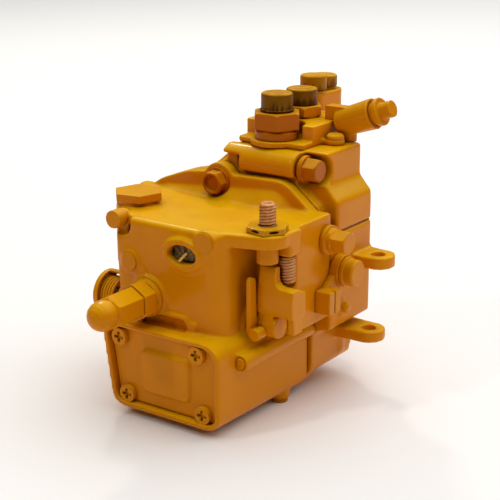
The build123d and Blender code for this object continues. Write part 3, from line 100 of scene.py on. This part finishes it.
# ---------------------------------------------------------------- governor case
# One sand casting with a box, a bulge for the filler and a flared hood. It was
# sprayed thickly, so edges are round and the paint has lumps, runs and specks.
MM = 1000                       # millimetres in a metre


class Socket:
    """A shader socket that takes part in sums."""

    def __init__(self, finish, socket):
        self.finish = finish
        self.socket = socket

    def combine(self, operation, other, turned=False):
        """Maths node of this socket and other, or of other and this when turned."""
        first, second = (other, self) if turned else (self, other)
        return self.finish.node("ShaderNodeMath", {"operation": operation}, {0: first, 1: second})

    def __add__(self, other):
        return self.combine("ADD", other)

    def __radd__(self, other):
        return self.combine("ADD", other)

    def __sub__(self, other):
        return self.combine("SUBTRACT", other)

    def __rsub__(self, other):
        return self.combine("SUBTRACT", other, True)

    def __mul__(self, other):
        return self.combine("MULTIPLY", other)

    def __rmul__(self, other):
        return self.combine("MULTIPLY", other)


def opaque(colour):
    """Colour with its alpha; a socket stays as it is."""
    return (*colour, 1) if isinstance(colour, tuple) else colour


class Finish:
    """A material and the nodes that make it."""

    MIX_SHARE, MIX_FIRST, MIX_SECOND, MIX_COLOUR = 0, 6, 7, 2

    def __init__(self, name):
        self.material = bpy.data.materials.new(name)
        self.material.use_nodes = True
        self.tree = self.material.node_tree
        self.shader = self.tree.nodes["Principled BSDF"]
        self.place = self.node("ShaderNodeTexCoord", {}, {}, "Object")

    def put(self, target, value):
        """Links a socket, or sets a number or colour."""
        if isinstance(value, Socket):
            self.tree.links.new(value.socket, target)
        else:
            target.default_value = value

    def node(self, kind, settings, sockets, out=0):
        """New node: its settings first, then the values or links of its sockets."""
        made = self.tree.nodes.new(kind)
        for key, value in settings.items():
            setattr(made, key, value)
        for key, value in sockets.items():
            self.put(made.inputs[key], value)
        return Socket(self, made.outputs[out])

    def noise(self, size_mm, detail=3.0, stretch=(1, 1, 1)):
        """Noise whose lumps are about size_mm wide."""
        place = self.place
        if stretch != (1, 1, 1):
            place = self.node("ShaderNodeVectorMath", {"operation": "MULTIPLY"}, {0: place, 1: stretch})
        return self.node("ShaderNodeTexNoise", {},
                         {"Vector": place, "Scale": MM / size_mm, "Detail": detail})

    def step(self, value, low, high):
        """0 below low, 1 above high, smooth between."""
        return self.node("ShaderNodeMapRange", {"interpolation_type": "SMOOTHSTEP"},
                         {"Value": value, "From Min": low, "From Max": high})

    def mix(self, share, first, second):
        """Colour between first and second."""
        sockets = {self.MIX_SHARE: share, self.MIX_FIRST: opaque(first), self.MIX_SECOND: opaque(second)}
        return self.node("ShaderNodeMix", {"data_type": "RGBA"}, sockets, self.MIX_COLOUR)

    def height_of(self, vector):
        """The Z of a place or a direction."""
        return self.node("ShaderNodeSeparateXYZ", {}, {"Vector": vector}, "Z")

    def upward(self):
        """1 where the surface faces up, 0 where it is upright."""
        return self.height_of(self.node("ShaderNodeTexCoord", {}, {}, "Normal"))

    def hollow(self, reach_mm):
        """0 in the open, towards 1 in corners that are narrower than the reach."""
        return 1 - self.node("ShaderNodeAmbientOcclusion", {"samples": 8}, {"Distance": reach_mm / MM}, "AO")

    def surface(self, colour, roughness, height, metallic=0.0, coat=0.0, coat_roughness=0.2, gloss=0.5,
                tint=(1, 1, 1)):
        """Joins colour, roughness and a height in millimetres to the shader."""
        self.shader.inputs["Specular IOR Level"].default_value = gloss
        self.shader.inputs["Specular Tint"].default_value = (*tint, 1)
        normal = self.node("ShaderNodeBump", {}, {"Height": height, "Distance": 1 / MM, "Strength": 1.0})
        for key, value in (("Base Color", opaque(colour)), ("Roughness", roughness), ("Metallic", metallic),
                           ("Coat Weight", coat), ("Coat Roughness", coat_roughness), ("Normal", normal)):
            self.put(self.shader.inputs[key], value)
        return self.material


def thick_paint(name, side, top, corner_shade=0.5, reach_mm=8.0, corner_shade_colour=(0.26, 0.062, 0.002), specks=0.5):
    """Thick glossy enamel with lumps, runs and specks; painted light makes it yellower where it faces up and
    painted shade makes it deeper in corners.
    """
    finish = Finish(name)
    red, green, blue = side
    broad = finish.noise(26, 3)
    patch = finish.noise(7, 4)
    peel = finish.noise(2.2, 2)
    speck = finish.step(finish.noise(1.3, 3), 0.715, 0.76)
    runs = finish.step(finish.noise(5, 3, (1, 1, 0.22)), 0.58, 0.74)
    # Painted light: faces that look up take the lighter top colour, upright faces the side colour.
    colour = finish.mix(finish.step(finish.upward(), 0.15, 0.95), side, top)
    colour = finish.mix(finish.step(broad, 0.40, 0.72) * 0.22, colour, (red * 0.86, green * 0.76, blue))
    colour = finish.mix(runs * 0.12, colour, (red * 0.8, green * 0.68, blue))
    # Painted shade: corners, recesses and seams darken towards the corner shade colour.
    colour = finish.mix(finish.step(finish.hollow(reach_mm), 0.18, 0.92) * corner_shade, colour, corner_shade_colour)
    colour = finish.mix(speck * specks, colour, (0.20, 0.06, 0.004))
    height = broad * 0.17 + patch * 0.085 + peel * 0.03 - speck * 0.05
    return finish.surface(colour, 0.26 + patch * 0.14, height, coat=0.13, coat_roughness=0.07, gloss=0.11,
                          tint=(1.0, 0.62, 0.10))


# YELLOW is the paint on upright faces; SUNLIT is painted light, the same paint lighter on faces that look up.
YELLOW = (0.69, 0.228, 0.0005)
SUNLIT = (0.82, 0.43, 0.002)
case_paint = thick_paint("case_paint", YELLOW, SUNLIT)


def plain_mesh(shape, name):
    """Mesh of a bmesh, which is freed."""
    mesh = bpy.data.meshes.new(name)
    shape.to_mesh(mesh)
    shape.free()
    return mesh


def prism(points, axis, low, high):
    """Straight block with the outline points, in millimetres, drawn on the plane across axis."""
    shape = bmesh.new()
    ends = []
    for level in (low, high):
        ring = []
        for first, second in points:
            place = {"x": (level, first, second), "y": (first, level, second), "z": (first, second, level)}
            ring.append(shape.verts.new([value / MM for value in place[axis]]))
        ends.append(ring)
    shape.faces.new(ends[0])
    shape.faces.new(list(reversed(ends[1])))
    for step in range(len(points)):
        after = (step + 1) % len(points)
        shape.faces.new((ends[0][step], ends[1][step], ends[1][after], ends[0][after]))
    bmesh.ops.recalc_face_normals(shape, faces=shape.faces)
    return plain_mesh(shape, "block")


def oval(first, second, wide, high, count=32, turn=0.0):
    """Points of an ellipse or, with a low count, of a regular polygon."""
    angles = [math.radians(turn) + 2 * math.pi * step / count for step in range(count)]
    return [(first + wide * math.cos(angle), second + high * math.sin(angle)) for angle in angles]


def bead(path, radius, sides=10):
    """Closed round bead along a ring of (x, y, z) points in millimetres."""
    shape = bmesh.new()
    count = len(path)
    rings = []
    for step, point in enumerate(path):
        here = Vector(point)
        ahead = (Vector(path[(step + 1) % count]) - Vector(path[step - 1])).normalized()
        across = ahead.cross(Vector((0, 1, 0))).normalized()
        rise = ahead.cross(across)
        angles = [turn * math.pi / (sides / 2) for turn in range(sides)]
        rings.append([shape.verts.new((here + across * radius * math.cos(angle)
                                       + rise * radius * math.sin(angle)) / MM) for angle in angles])
    for step in range(count):
        near, far = rings[step], rings[(step + 1) % count]
        for turn in range(sides):
            beside = (turn + 1) % sides
            shape.faces.new((near[turn], far[turn], far[beside], near[beside]))
    bmesh.ops.recalc_face_normals(shape, faces=shape.faces)
    return plain_mesh(shape, "bead")


def skin(node, voxel_mm, rounds, material, body="pump", added=(), cut=(), base=None):
    """Rounded skin over a CAD node, with its edges softened as thick paint softens them."""
    name = node + "_skin"
    shape = bmesh.new()
    shape.from_mesh(base or frame["nodes"][node].data)
    bmesh.ops.remove_doubles(shape, verts=shape.verts, dist=1e-6)
    rough = bpy.data.objects.new(name, plain_mesh(shape, name))
    bpy.context.scene.collection.objects.link(rough)
    tools = []
    for operation, meshes in (("UNION", added), ("DIFFERENCE", cut)):
        for tool_mesh in meshes:
            tool = bpy.data.objects.new("tool", tool_mesh)
            bpy.context.scene.collection.objects.link(tool)
            carve = rough.modifiers.new("carve", "BOOLEAN")
            carve.operation = operation
            carve.solver = "EXACT"
            carve.object = tool
            tools.append(tool)
    remesh = rough.modifiers.new("remesh", "REMESH")
    remesh.mode = "VOXEL"
    remesh.voxel_size = voxel_mm / MM
    smooth = rough.modifiers.new("smooth", "SMOOTH")
    smooth.factor = 0.5
    smooth.iterations = rounds
    done = bpy.data.meshes.new_from_object(rough.evaluated_get(bpy.context.evaluated_depsgraph_get()))
    rough.modifiers.clear()
    rough.data = done
    for tool in tools:
        bpy.data.objects.remove(tool)
    return dress(rough, material, body, node)


def dress(piece, material, body, node):
    """Material and body of a finished piece, and hides the CAD node that it stands for."""
    if piece.name not in bpy.context.scene.collection.objects:
        bpy.context.scene.collection.objects.link(piece)
    piece.data.materials.clear()
    piece.data.materials.append(material)
    for polygon in piece.data.polygons:
        polygon.use_smooth = True
    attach(piece, body)
    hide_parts(node)
    return piece


SIGHT_X, SIGHT_Z = 4.3, 64.0
sight_lip = bead([(x, -125.9, z) for x, z in oval(SIGHT_X, SIGHT_Z, 12.6, 8.0, 48)], 2.2)
corner_notch = prism(oval(-42.4, 74.6, 7.4, 7.2), "y", -140, -120.5)
screw_boss = prism([(47.0, -96.5), (58.4, -96.5), (58.4, -84.0), (47.0, -84.0)], "z", 64.0, 79.2)
skin("governor_case", 1.15, 3, case_paint, added=(sight_lip, screw_boss), cut=(corner_notch,))

# ---------------------------------------------------------------- pump body and head castings
# The rear castings: cam chamber, head housing and the hydraulic head on top,
# in the same thick paint.
skin("pump_body", 1.2, 4, case_paint)
skin("head_housing", 1.1, 4, case_paint)
skin("head_plate", 0.8, 3, case_paint)

# ---------------------------------------------------------------- end cover
# Recessed plate with a raised pad, held by four pan head screws. Their cross
# recesses are dark with painted shade.
COVER_SCREWS = ((-36.5, 8.5), (20.5, 9.5), (-31.5, -26.6), (24.5, -26.6))
CROSS_REACH, CROSS_HALF_WIDTH = 3.3, 0.95
skin("end_cover", 0.6, 3, case_paint)
# Painted shade: near black in the cross recesses.
screw_paint = thick_paint("screw_paint", YELLOW, SUNLIT, corner_shade=1.0, reach_mm=2.2, corner_shade_colour=(0.03, 0.008, 0.001))
heads, crosses = [], []
for x, z in COVER_SCREWS:
    heads.append(prism(oval(x, z, 5.4, 5.4), "y", -136.3, -132.0))
    for wide, high in ((CROSS_REACH, CROSS_HALF_WIDTH), (CROSS_HALF_WIDTH, CROSS_REACH)):
        slit = [(x - wide, z - high), (x + wide, z - high), (x + wide, z + high), (x - wide, z + high)]
        crosses.append(prism(slit, "y", -140, -134.3))
skin("end_cover_screws", 0.28, 2, screw_paint, added=heads, cut=crosses)

# ---------------------------------------------------------------- gaskets
# Paper gaskets in the two joints, a little inside the castings' edges, so that
# each joint is a dark painted-over groove.
GASKET_INSET = 1.1
# Painted shade also darkens the gasket where the joint closes over it.
painted_gasket = thick_paint("painted_gasket", (0.24, 0.05, 0.001), (0.30, 0.08, 0.001), corner_shade=0.95,
                             reach_mm=4.0, corner_shade_colour=(0.04, 0.008, 0.001))


def set_back(node, flat):
    """Copy of a gasket, drawn in from its edges; flat is the axis across its sheet."""
    low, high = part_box(node)
    mesh = frame["nodes"][node].data.copy()
    middle = [(low[axis] + high[axis]) / 2 for axis in range(3)]
    share = [1.0 if axis == flat else 1 - 2 * GASKET_INSET / MM / (high[axis] - low[axis])
             for axis in range(3)]
    for vertex in mesh.vertices:
        vertex.co = [middle[axis] + (vertex.co[axis] - middle[axis]) * share[axis] for axis in range(3)]
    return dress(bpy.data.objects.new(node + "_set_back", mesh), painted_gasket, "pump", node)


set_back("head_gasket", 2)
set_back("case_gasket", 1)

# ---------------------------------------------------------------- bolts and plugs
# Hexagon bolts and plugs, painted over with the rest; painted shade makes
# them brown in their dishes and under their heads.
FLANGE_BOLTS = ((-22.0, 88.9), (-77.0, 57.0), (-72.0, -8.0))
FILLER_X, FILLER_Y = -53.0, -95.0
bolt_paint = thick_paint("bolt_paint", (0.66, 0.22, 0.001), (0.78, 0.37, 0.002), corner_shade=0.85, reach_mm=5.0,
                         corner_shade_colour=(0.20, 0.035, 0.001), specks=0.8)
# Painted shade: a darker copy of the bolt paint for the flange bolts, the front outlet holder and the gallery
# plug.
shade_darkened_paint = thick_paint("shade_darkened_paint", (0.47, 0.115, 0.0005), (0.72, 0.30, 0.001), corner_shade=0.9, reach_mm=5.0,
                         corner_shade_colour=(0.13, 0.022, 0.001), specks=0.8)
dishes = [prism(oval(x, z, 5.1, 5.1, 24), "y", -80, -61.4) for x, z in FLANGE_BOLTS]
skin("flange_bolts", 0.35, 1, shade_darkened_paint, cut=dishes)
skin("front_outlet_holder", 0.42, 1, shade_darkened_paint)
skin("gallery_plug", 0.35, 1, shade_darkened_paint)
dome_groove = bead([(x, -163.2, z) for x, z in oval(-21.0, 34.0, 9.0, 9.0, 48)], 0.85)
skin("adjuster_cap_nut", 0.35, 1, bolt_paint, cut=(dome_groove,))
plug_head = prism(oval(FILLER_X, FILLER_Y, 15.6, 15.6, 6, 12), "z", 81.9, 86.8)
plug_neck = prism(oval(FILLER_X, FILLER_Y, 12.4, 12.4, 40), "z", 78.0, 82.4)
skin("filler_plug", 0.4, 2, bolt_paint, base=plug_head, added=(plug_neck,))
for node, voxel in (("core_plugs", 0.35), ("sealing_washers", 0.35), ("head_bolt", 0.35), ("side_bolt", 0.35),
                    ("leak_off_union", 0.4), ("leak_off_bolt", 0.35), ("adjuster_lock_nut", 0.35),
                    ("high_stop_collar", 0.4), ("inlet_elbow", 0.5), ("inlet_plug", 0.4),
                    ("side_outlet_holder", 0.45), ("rear_outlet_holders", 0.45), ("oil_plugs", 0.45)):
    skin(node, voxel, 1, bolt_paint)
corner_head = prism(oval(-45.2, 77.2, 5.4, 5.4), "y", -128.2, -120.0)
skin("case_bolt", 0.35, 2, bolt_paint, base=corner_head)

# ---------------------------------------------------------------- outlet caps
# Turned caps on the four outlets. Their paint is brown on the sides, darkened
# further as painted shade, with tops made lighter as painted light; it has run dark at their feet.
DRIP_REACH, DRIP_START = 0.016, 0.0062     # metres


def capped_paint(name, side, top, foot, low_mm, high_mm):
    """Brown worn paint, darker on the sides as painted shade and lighter on top as painted light, with dark
    runs that climb from the foot of a cap.
    """
    finish = Finish(name)
    drips = finish.noise(1.6, 3, (1, 1, 0.12))
    cloud = finish.noise(6, 3)
    level = finish.height_of(finish.place) - drips * DRIP_REACH + DRIP_START
    # Painted light and shade: tops that look up are lighter, upright sides darker.
    colour = finish.mix(finish.step(finish.upward(), 0.3, 0.9), side, top)
    colour = finish.mix(finish.step(cloud, 0.35, 0.7) * 0.35, colour,
                        (side[0] * 0.6, side[1] * 0.55, side[2]))
    colour = finish.mix(finish.step(level, high_mm / MM, low_mm / MM) * 0.85, colour, foot)
    return finish.surface(colour, 0.34 + cloud * 0.15, drips * 0.04 + cloud * 0.06, coat=0.04,
                          coat_roughness=0.2, gloss=0.12, tint=(1.0, 0.7, 0.2))


skin("outlet_caps", 0.38, 2,
     capped_paint("cap_paint", (0.21, 0.082, 0.002), (0.66, 0.31, 0.004), (0.05, 0.012, 0.001), 131.0, 136.0))
skin("small_outlet_caps", 0.38, 2,
     capped_paint("small_cap_paint", (0.42, 0.165, 0.002), (0.76, 0.36, 0.003), (0.16, 0.05, 0.001),
                  136.5, 140.0))

# ---------------------------------------------------------------- sight port
# Toothed disc deep in the oval port, dull green under old oil, with a pointer
# pin set aslant in front of it.
disc_finish = Finish("disc_finish")
disc_cloud = disc_finish.noise(3.0, 4)
disc_colour = disc_finish.mix(disc_finish.step(disc_cloud, 0.35, 0.7), (0.30, 0.19, 0.015),
                              (0.12, 0.06, 0.005))
# Painted shade: near black in the disc's hollows, deep in the port.
disc_colour = disc_finish.mix(disc_finish.step(disc_finish.hollow(4.0), 0.25, 0.8), disc_colour,
                              (0.008, 0.003, 0.001))
disc_finish.surface(disc_colour, 0.5 - disc_cloud * 0.1, disc_cloud * 0.05)


def join_rings(shape, near, far):
    """Wall of quads between two closed rings of corners."""
    for step in range(len(near)):
        after = (step + 1) % len(near)
        shape.faces.new((near[step], near[after], far[after], far[step]))


def gear_face(name, wide, high, back, front, teeth):
    """Oval plate in the port with radial teeth on its face."""
    shape = bmesh.new()
    rows, around = 8, teeth * 8
    hub_x, hub_z, hub_r = SIGHT_X + 1.5, SIGHT_Z - 9.0, 8.0
    grid = []
    for row in range(rows + 1):
        ring = []
        for step in range(around):
            angle = 2 * math.pi * step / around
            x = SIGHT_X + wide * row / rows * math.cos(angle)
            z = SIGHT_Z + high * row / rows * math.sin(angle)
            ridge = max(0.0, math.sin(math.atan2(z - hub_z, x - hub_x) * teeth * 1.6))
            rise = (0.25 + 0.75 * ridge ** 0.6) * (0.4 if math.hypot(x - hub_x, z - hub_z) < hub_r else 1.0)
            y = back + (front - back) * (0.15 + 0.85 * rise)
            ring.append(shape.verts.new((x / MM, y / MM, z / MM)))
        grid.append(ring)
    rim = [shape.verts.new((corner.co.x, back / MM, corner.co.z)) for corner in grid[-1]]
    grid.append(rim)
    for near, far in zip(grid[1:], grid[2:]):
        join_rings(shape, near, far)
    for step in range(around):
        after = (step + 1) % around
        shape.faces.new((grid[0][step], grid[1][after], grid[1][step]))
    shape.faces.new(rim)
    bmesh.ops.remove_doubles(shape, verts=shape.verts, dist=1e-7)
    bmesh.ops.recalc_face_normals(shape, faces=shape.faces)
    return bpy.data.objects.new(name, plain_mesh(shape, name))


dress(gear_face("sight_gear", 9.9, 5.3, back=-120.6, front=-123.2, teeth=11), disc_finish.material, "pump",
      "sight_disc")
pin_finish = thick_paint("pin_finish", (0.85, 0.50, 0.10), (0.88, 0.60, 0.18), corner_shade=0.5, reach_mm=2.0,
                         specks=0.1)
pin_mesh = prism(oval(0, 0, 0.85, 0.85, 16), "z", -3.6, 3.6)
pin_lean = Vector((5.0, 2.2, 6.2)).to_track_quat("Z", "Y").to_matrix().to_4x4()
pin_mesh.transform(Matrix.Translation((0.0036, -0.1243, 0.0622)) @ pin_lean)
skin("sight_pin", 0.25, 2, pin_finish, base=pin_mesh)

# ---------------------------------------------------------------- speed stop screws
# Two screws with rolled threads, one standing out of its lock nut and one in
# front of the block. Paint has worn off their crests to a coppery steel.
HIGH_X, HIGH_Y = 45.8, -101.0
SCREW_R = 5.0
HIGH_SCREW = (HIGH_X, HIGH_Y, 62.3, 95.7, SCREW_R)
LOW_SCREW = (52.0, -90.0, 47.3, 79.0, SCREW_R)


def threaded_rod(name, spots, pitch, depth, around=40, bevel=1.0):
    """Rods with a real helical thread, given as (x, y, low, high, radius) in millimetres."""
    shape = bmesh.new()
    turns = [2 * math.pi * step / around for step in range(around)]
    for x, y, low, high, radius in spots:
        rows = int((high - low) / pitch * 8)
        grid = []
        for row in range(rows + 1):
            z = low + (high - low) * row / rows
            ring = []
            for step, angle in enumerate(turns):
                phase = (z / pitch - step / around) % 1.0
                groove = depth * (1 - abs(2 * phase - 1)) ** 1.3
                taper = max(0.0, bevel - min(z - low, high - z))
                r = min(radius - groove, radius - taper)
                ring.append(shape.verts.new((
                    (x + r * math.cos(angle)) / MM, (y + r * math.sin(angle)) / MM, z / MM)))
            grid.append(ring)
        for below, above in zip(grid, grid[1:]):
            join_rings(shape, below, above)
        shape.faces.new(list(reversed(grid[0])))
        rims = [grid[-1]]
        for share, drop in ((0.5, 0.0), (0.45, 1.2)):     # centre hole in the top
            rims.append([shape.verts.new(((x + radius * share * math.cos(angle)) / MM,
                                          (y + radius * share * math.sin(angle)) / MM,
                                          (high - drop) / MM)) for angle in turns])
        for outer, inner in zip(rims, rims[1:]):
            join_rings(shape, outer, inner)
        shape.faces.new(rims[-1])
    return bpy.data.objects.new(name, plain_mesh(shape, name))


thread_finish = Finish("thread_finish")
thread_cloud = thread_finish.noise(2.5, 3)
thread_colour = thread_finish.mix(thread_finish.step(thread_cloud, 0.4, 0.65), (0.72, 0.34, 0.13),
                                  (0.62, 0.22, 0.03))
# Painted shade: the thread roots darken towards near black.
thread_colour = thread_finish.mix(thread_finish.step(thread_finish.hollow(2.2), 0.12, 0.5), thread_colour,
                                  (0.10, 0.018, 0.002))
thread_finish.surface(thread_colour, 0.36 + thread_cloud * 0.15, thread_cloud * 0.04, metallic=0.35)
dress(threaded_rod("stop_screw_threads", (HIGH_SCREW, LOW_SCREW), pitch=1.8, depth=0.85),
      thread_finish.material, "pump", "stop_screws")

NUT_TURN = 53.4                 # degrees that the lock nut is turned
nut_holes = []
for flat in range(6):
    facing = math.radians(NUT_TURN + 30 + 60 * flat)
    slit_mesh = prism(oval(0, 1.75, 3.0, 0.85, 20), "x", 8.0, 14.0)
    slit_mesh.transform(Matrix.Translation((HIGH_X / MM, HIGH_Y / MM, 0.0793))
                        @ Matrix.Rotation(facing, 4, "Z"))
    nut_holes.append(slit_mesh)
nut_holes.append(prism(oval(HIGH_X, HIGH_Y, SCREW_R + 0.05, SCREW_R + 0.05), "z", 70, 90))
nut_blank = prism(oval(HIGH_X, HIGH_Y, 12.6, 12.6, 6, NUT_TURN), "z", 79.35, 82.8)
# Painted shade: near black in the lock nut's holes and round the screw.
nut_paint = thick_paint("nut_paint", (0.60, 0.235, 0.002), (0.70, 0.36, 0.003), corner_shade=0.95, reach_mm=2.5,
                        corner_shade_colour=(0.03, 0.008, 0.001))
skin("high_stop_nut", 0.28, 2, nut_paint, cut=nut_holes, base=nut_blank)

# ---------------------------------------------------------------- levers
# Throttle lever with its link on one side, stop lever on the other. The lever
# is cut away beside its post, where the low-speed stop screw comes down.
relief = prism([(70, 70), (51.0, 70), (51.0, 51.5), (51.6, 49.0), (53.0, 47.2), (55.2, 46.2), (70, 46.0)],
               "y", -110, -90.5)
skin("throttle_lever", 0.45, 3, case_paint, "throttle", cut=(relief,))
skin("throttle_link", 0.4, 2, case_paint, "throttle")
skin("stop_lever", 0.4, 2, case_paint, "stop")

# ---------------------------------------------------------------- stop return spring
# Torsion spring of round wire on the stop shaft, inside a strap bent from thin
# sheet. Both were sprayed in place.
STOP_Y, STOP_Z = -114.0, 26.0
coil_tree = bpy.data.node_groups.new("wound_spring", "GeometryNodeTree")
sockets = {}
for label, kind in (("Turns", "NodeSocketFloat"), ("Radius", "NodeSocketFloat"),
                    ("Length", "NodeSocketFloat"), ("Wire", "NodeSocketFloat"),
                    ("Place", "NodeSocketVector"), ("Finish", "NodeSocketMaterial")):
    socket = coil_tree.interface.new_socket(label, in_out="INPUT", socket_type=kind)
    sockets[label] = socket.identifier
coil_tree.interface.new_socket("Spring", in_out="OUTPUT", socket_type="NodeSocketGeometry")
inputs = coil_tree.nodes.new("NodeGroupInput")
outputs = coil_tree.nodes.new("NodeGroupOutput")
helix = coil_tree.nodes.new("GeometryNodeCurveSpiral")
helix.inputs["Resolution"].default_value = 40
circle = coil_tree.nodes.new("GeometryNodeCurvePrimitiveCircle")
circle.inputs["Resolution"].default_value = 12
swept = coil_tree.nodes.new("GeometryNodeCurveToMesh")
swept.inputs["Fill Caps"].default_value = True
placed = coil_tree.nodes.new("GeometryNodeTransform")
placed.inputs["Rotation"].default_value = (0, math.pi / 2, 0)
real = coil_tree.nodes.new("GeometryNodeRealizeInstances")
painted = coil_tree.nodes.new("GeometryNodeSetMaterial")
for source, target in ((inputs.outputs["Turns"], helix.inputs["Rotations"]),
                       (inputs.outputs["Radius"], helix.inputs["Start Radius"]),
                       (inputs.outputs["Radius"], helix.inputs["End Radius"]),
                       (inputs.outputs["Length"], helix.inputs["Height"]),
                       (inputs.outputs["Wire"], circle.inputs["Radius"]),
                       (helix.outputs[0], swept.inputs["Curve"]),
                       (circle.outputs[0], swept.inputs["Profile Curve"]),
                       (swept.outputs[0], placed.inputs["Geometry"]),
                       (inputs.outputs["Place"], placed.inputs["Translation"]),
                       (placed.outputs[0], real.inputs[0]),
                       (real.outputs[0], painted.inputs["Geometry"]),
                       (inputs.outputs["Finish"], painted.inputs["Material"]),
                       (painted.outputs[0], outputs.inputs[0])):
    coil_tree.links.new(source, target)


def wound_spring(name, values):
    """Plain mesh of a spring wound by the tree, in metres."""
    holder = bpy.data.objects.new(name, bpy.data.meshes.new(name))
    bpy.context.scene.collection.objects.link(holder)
    winding = holder.modifiers.new("winding", "NODES")
    winding.node_group = coil_tree
    for label, value in values.items():
        winding[sockets[label]] = value
    mesh = bpy.data.meshes.new_from_object(holder.evaluated_get(bpy.context.evaluated_depsgraph_get()))
    holder.modifiers.clear()
    holder.data = mesh
    return holder


spring_paint = thick_paint("spring_paint", (0.72, 0.27, 0.004), (0.80, 0.40, 0.006), corner_shade=0.8, reach_mm=2.5,
                           corner_shade_colour=(0.16, 0.03, 0.001), specks=0.2)
coils = wound_spring("stop_spring_coils", {"Turns": 5.6, "Radius": 0.0096, "Length": 0.0112, "Wire": 0.0009,
                                           "Place": (-0.0628, STOP_Y / MM, STOP_Z / MM),
                                           "Finish": spring_paint})
dress(coils, spring_paint, "pump", "stop_spring")


def arc_band(inner, outer, start, end, steps=28):
    """Outline of a band between two radii round the stop shaft."""
    turns = [math.radians(start + (end - start) * step / steps) for step in range(steps + 1)]
    return ([(STOP_Y + outer * math.cos(turn), STOP_Z + outer * math.sin(turn)) for turn in turns]
            + [(STOP_Y + inner * math.cos(turn), STOP_Z + inner * math.sin(turn)) for turn in reversed(turns)])


strap = prism(arc_band(12.5, 13.9, 48, 212), "x", -63.5, -60.2)
strap_leg = prism(arc_band(12.4, 13.9, 48, 92), "x", -63.4, -48.6)
strap_web = prism(arc_band(10.2, 13.9, 48, 212), "x", -63.5, -62.2)
skin("spring_cup", 0.4, 2, case_paint, base=strap, added=(strap_web, strap_leg))

# ---------------------------------------------------------------- bare metal inside
# Shafts, weights, springs and bushes are machined steel and bronze, and the
# seal is rubber. Each CAD node here takes the finish of its material slot.


def turned_metal(name, tint, rough, metallic=1.0):
    """Machined metal with fine lines."""
    finish = Finish(name)
    lines = finish.noise(0.6, 2, (1, 1, 4))
    stain = finish.noise(6, 3)
    colour = finish.mix(stain * 0.6, tint, tuple(part * 0.55 for part in tint))
    return finish.surface(colour, rough + lines * 0.15, lines * 0.01, metallic=metallic)


finishes = {"bare_steel": turned_metal("bare_steel", (0.5, 0.48, 0.45), 0.32),
            "stud_steel": turned_metal("stud_steel", (0.55, 0.33, 0.2), 0.35),
            "bronze": turned_metal("bronze", (0.6, 0.4, 0.18), 0.35),
            "dark_steel": turned_metal("dark_steel", (0.09, 0.075, 0.03), 0.45, 0.4),
            "seal_rubber": turned_metal("seal_rubber", (0.03, 0.03, 0.03), 0.6, 0.0),
            "gasket": painted_gasket, "yellow_paint": case_paint}
for entry in frame["record"]["subparts"]:
    materials = frame["nodes"][entry["node"]].data.materials
    materials.clear()
    materials.append(finishes[entry["material_slot"]])

# ---------------------------------------------------------------- floor
# Pale matt sheet that the pump stands on, level with the lowest point of its
# drain plug.
FLOOR_REACH = 6
FLOOR_Z = cad_box[0][2]
floor_mesh = bpy.data.meshes.new("floor")
floor_mesh.from_pydata([(-FLOOR_REACH, -FLOOR_REACH, FLOOR_Z), (FLOOR_REACH, -FLOOR_REACH, FLOOR_Z),
                        (FLOOR_REACH, FLOOR_REACH, FLOOR_Z), (-FLOOR_REACH, FLOOR_REACH, FLOOR_Z)],
                       [], [(0, 1, 2, 3)])
floor = bpy.data.objects.new("floor", floor_mesh)
bpy.context.scene.collection.objects.link(floor)
sheet = bpy.data.materials.new("floor_sheet")
sheet.use_nodes = True
sheet_shader = sheet.node_tree.nodes["Principled BSDF"]
sheet_shader.inputs["Base Color"].default_value = (0.96, 0.96, 0.96, 1)
sheet_shader.inputs["Roughness"].default_value = 0.9
floor.data.materials.append(sheet)
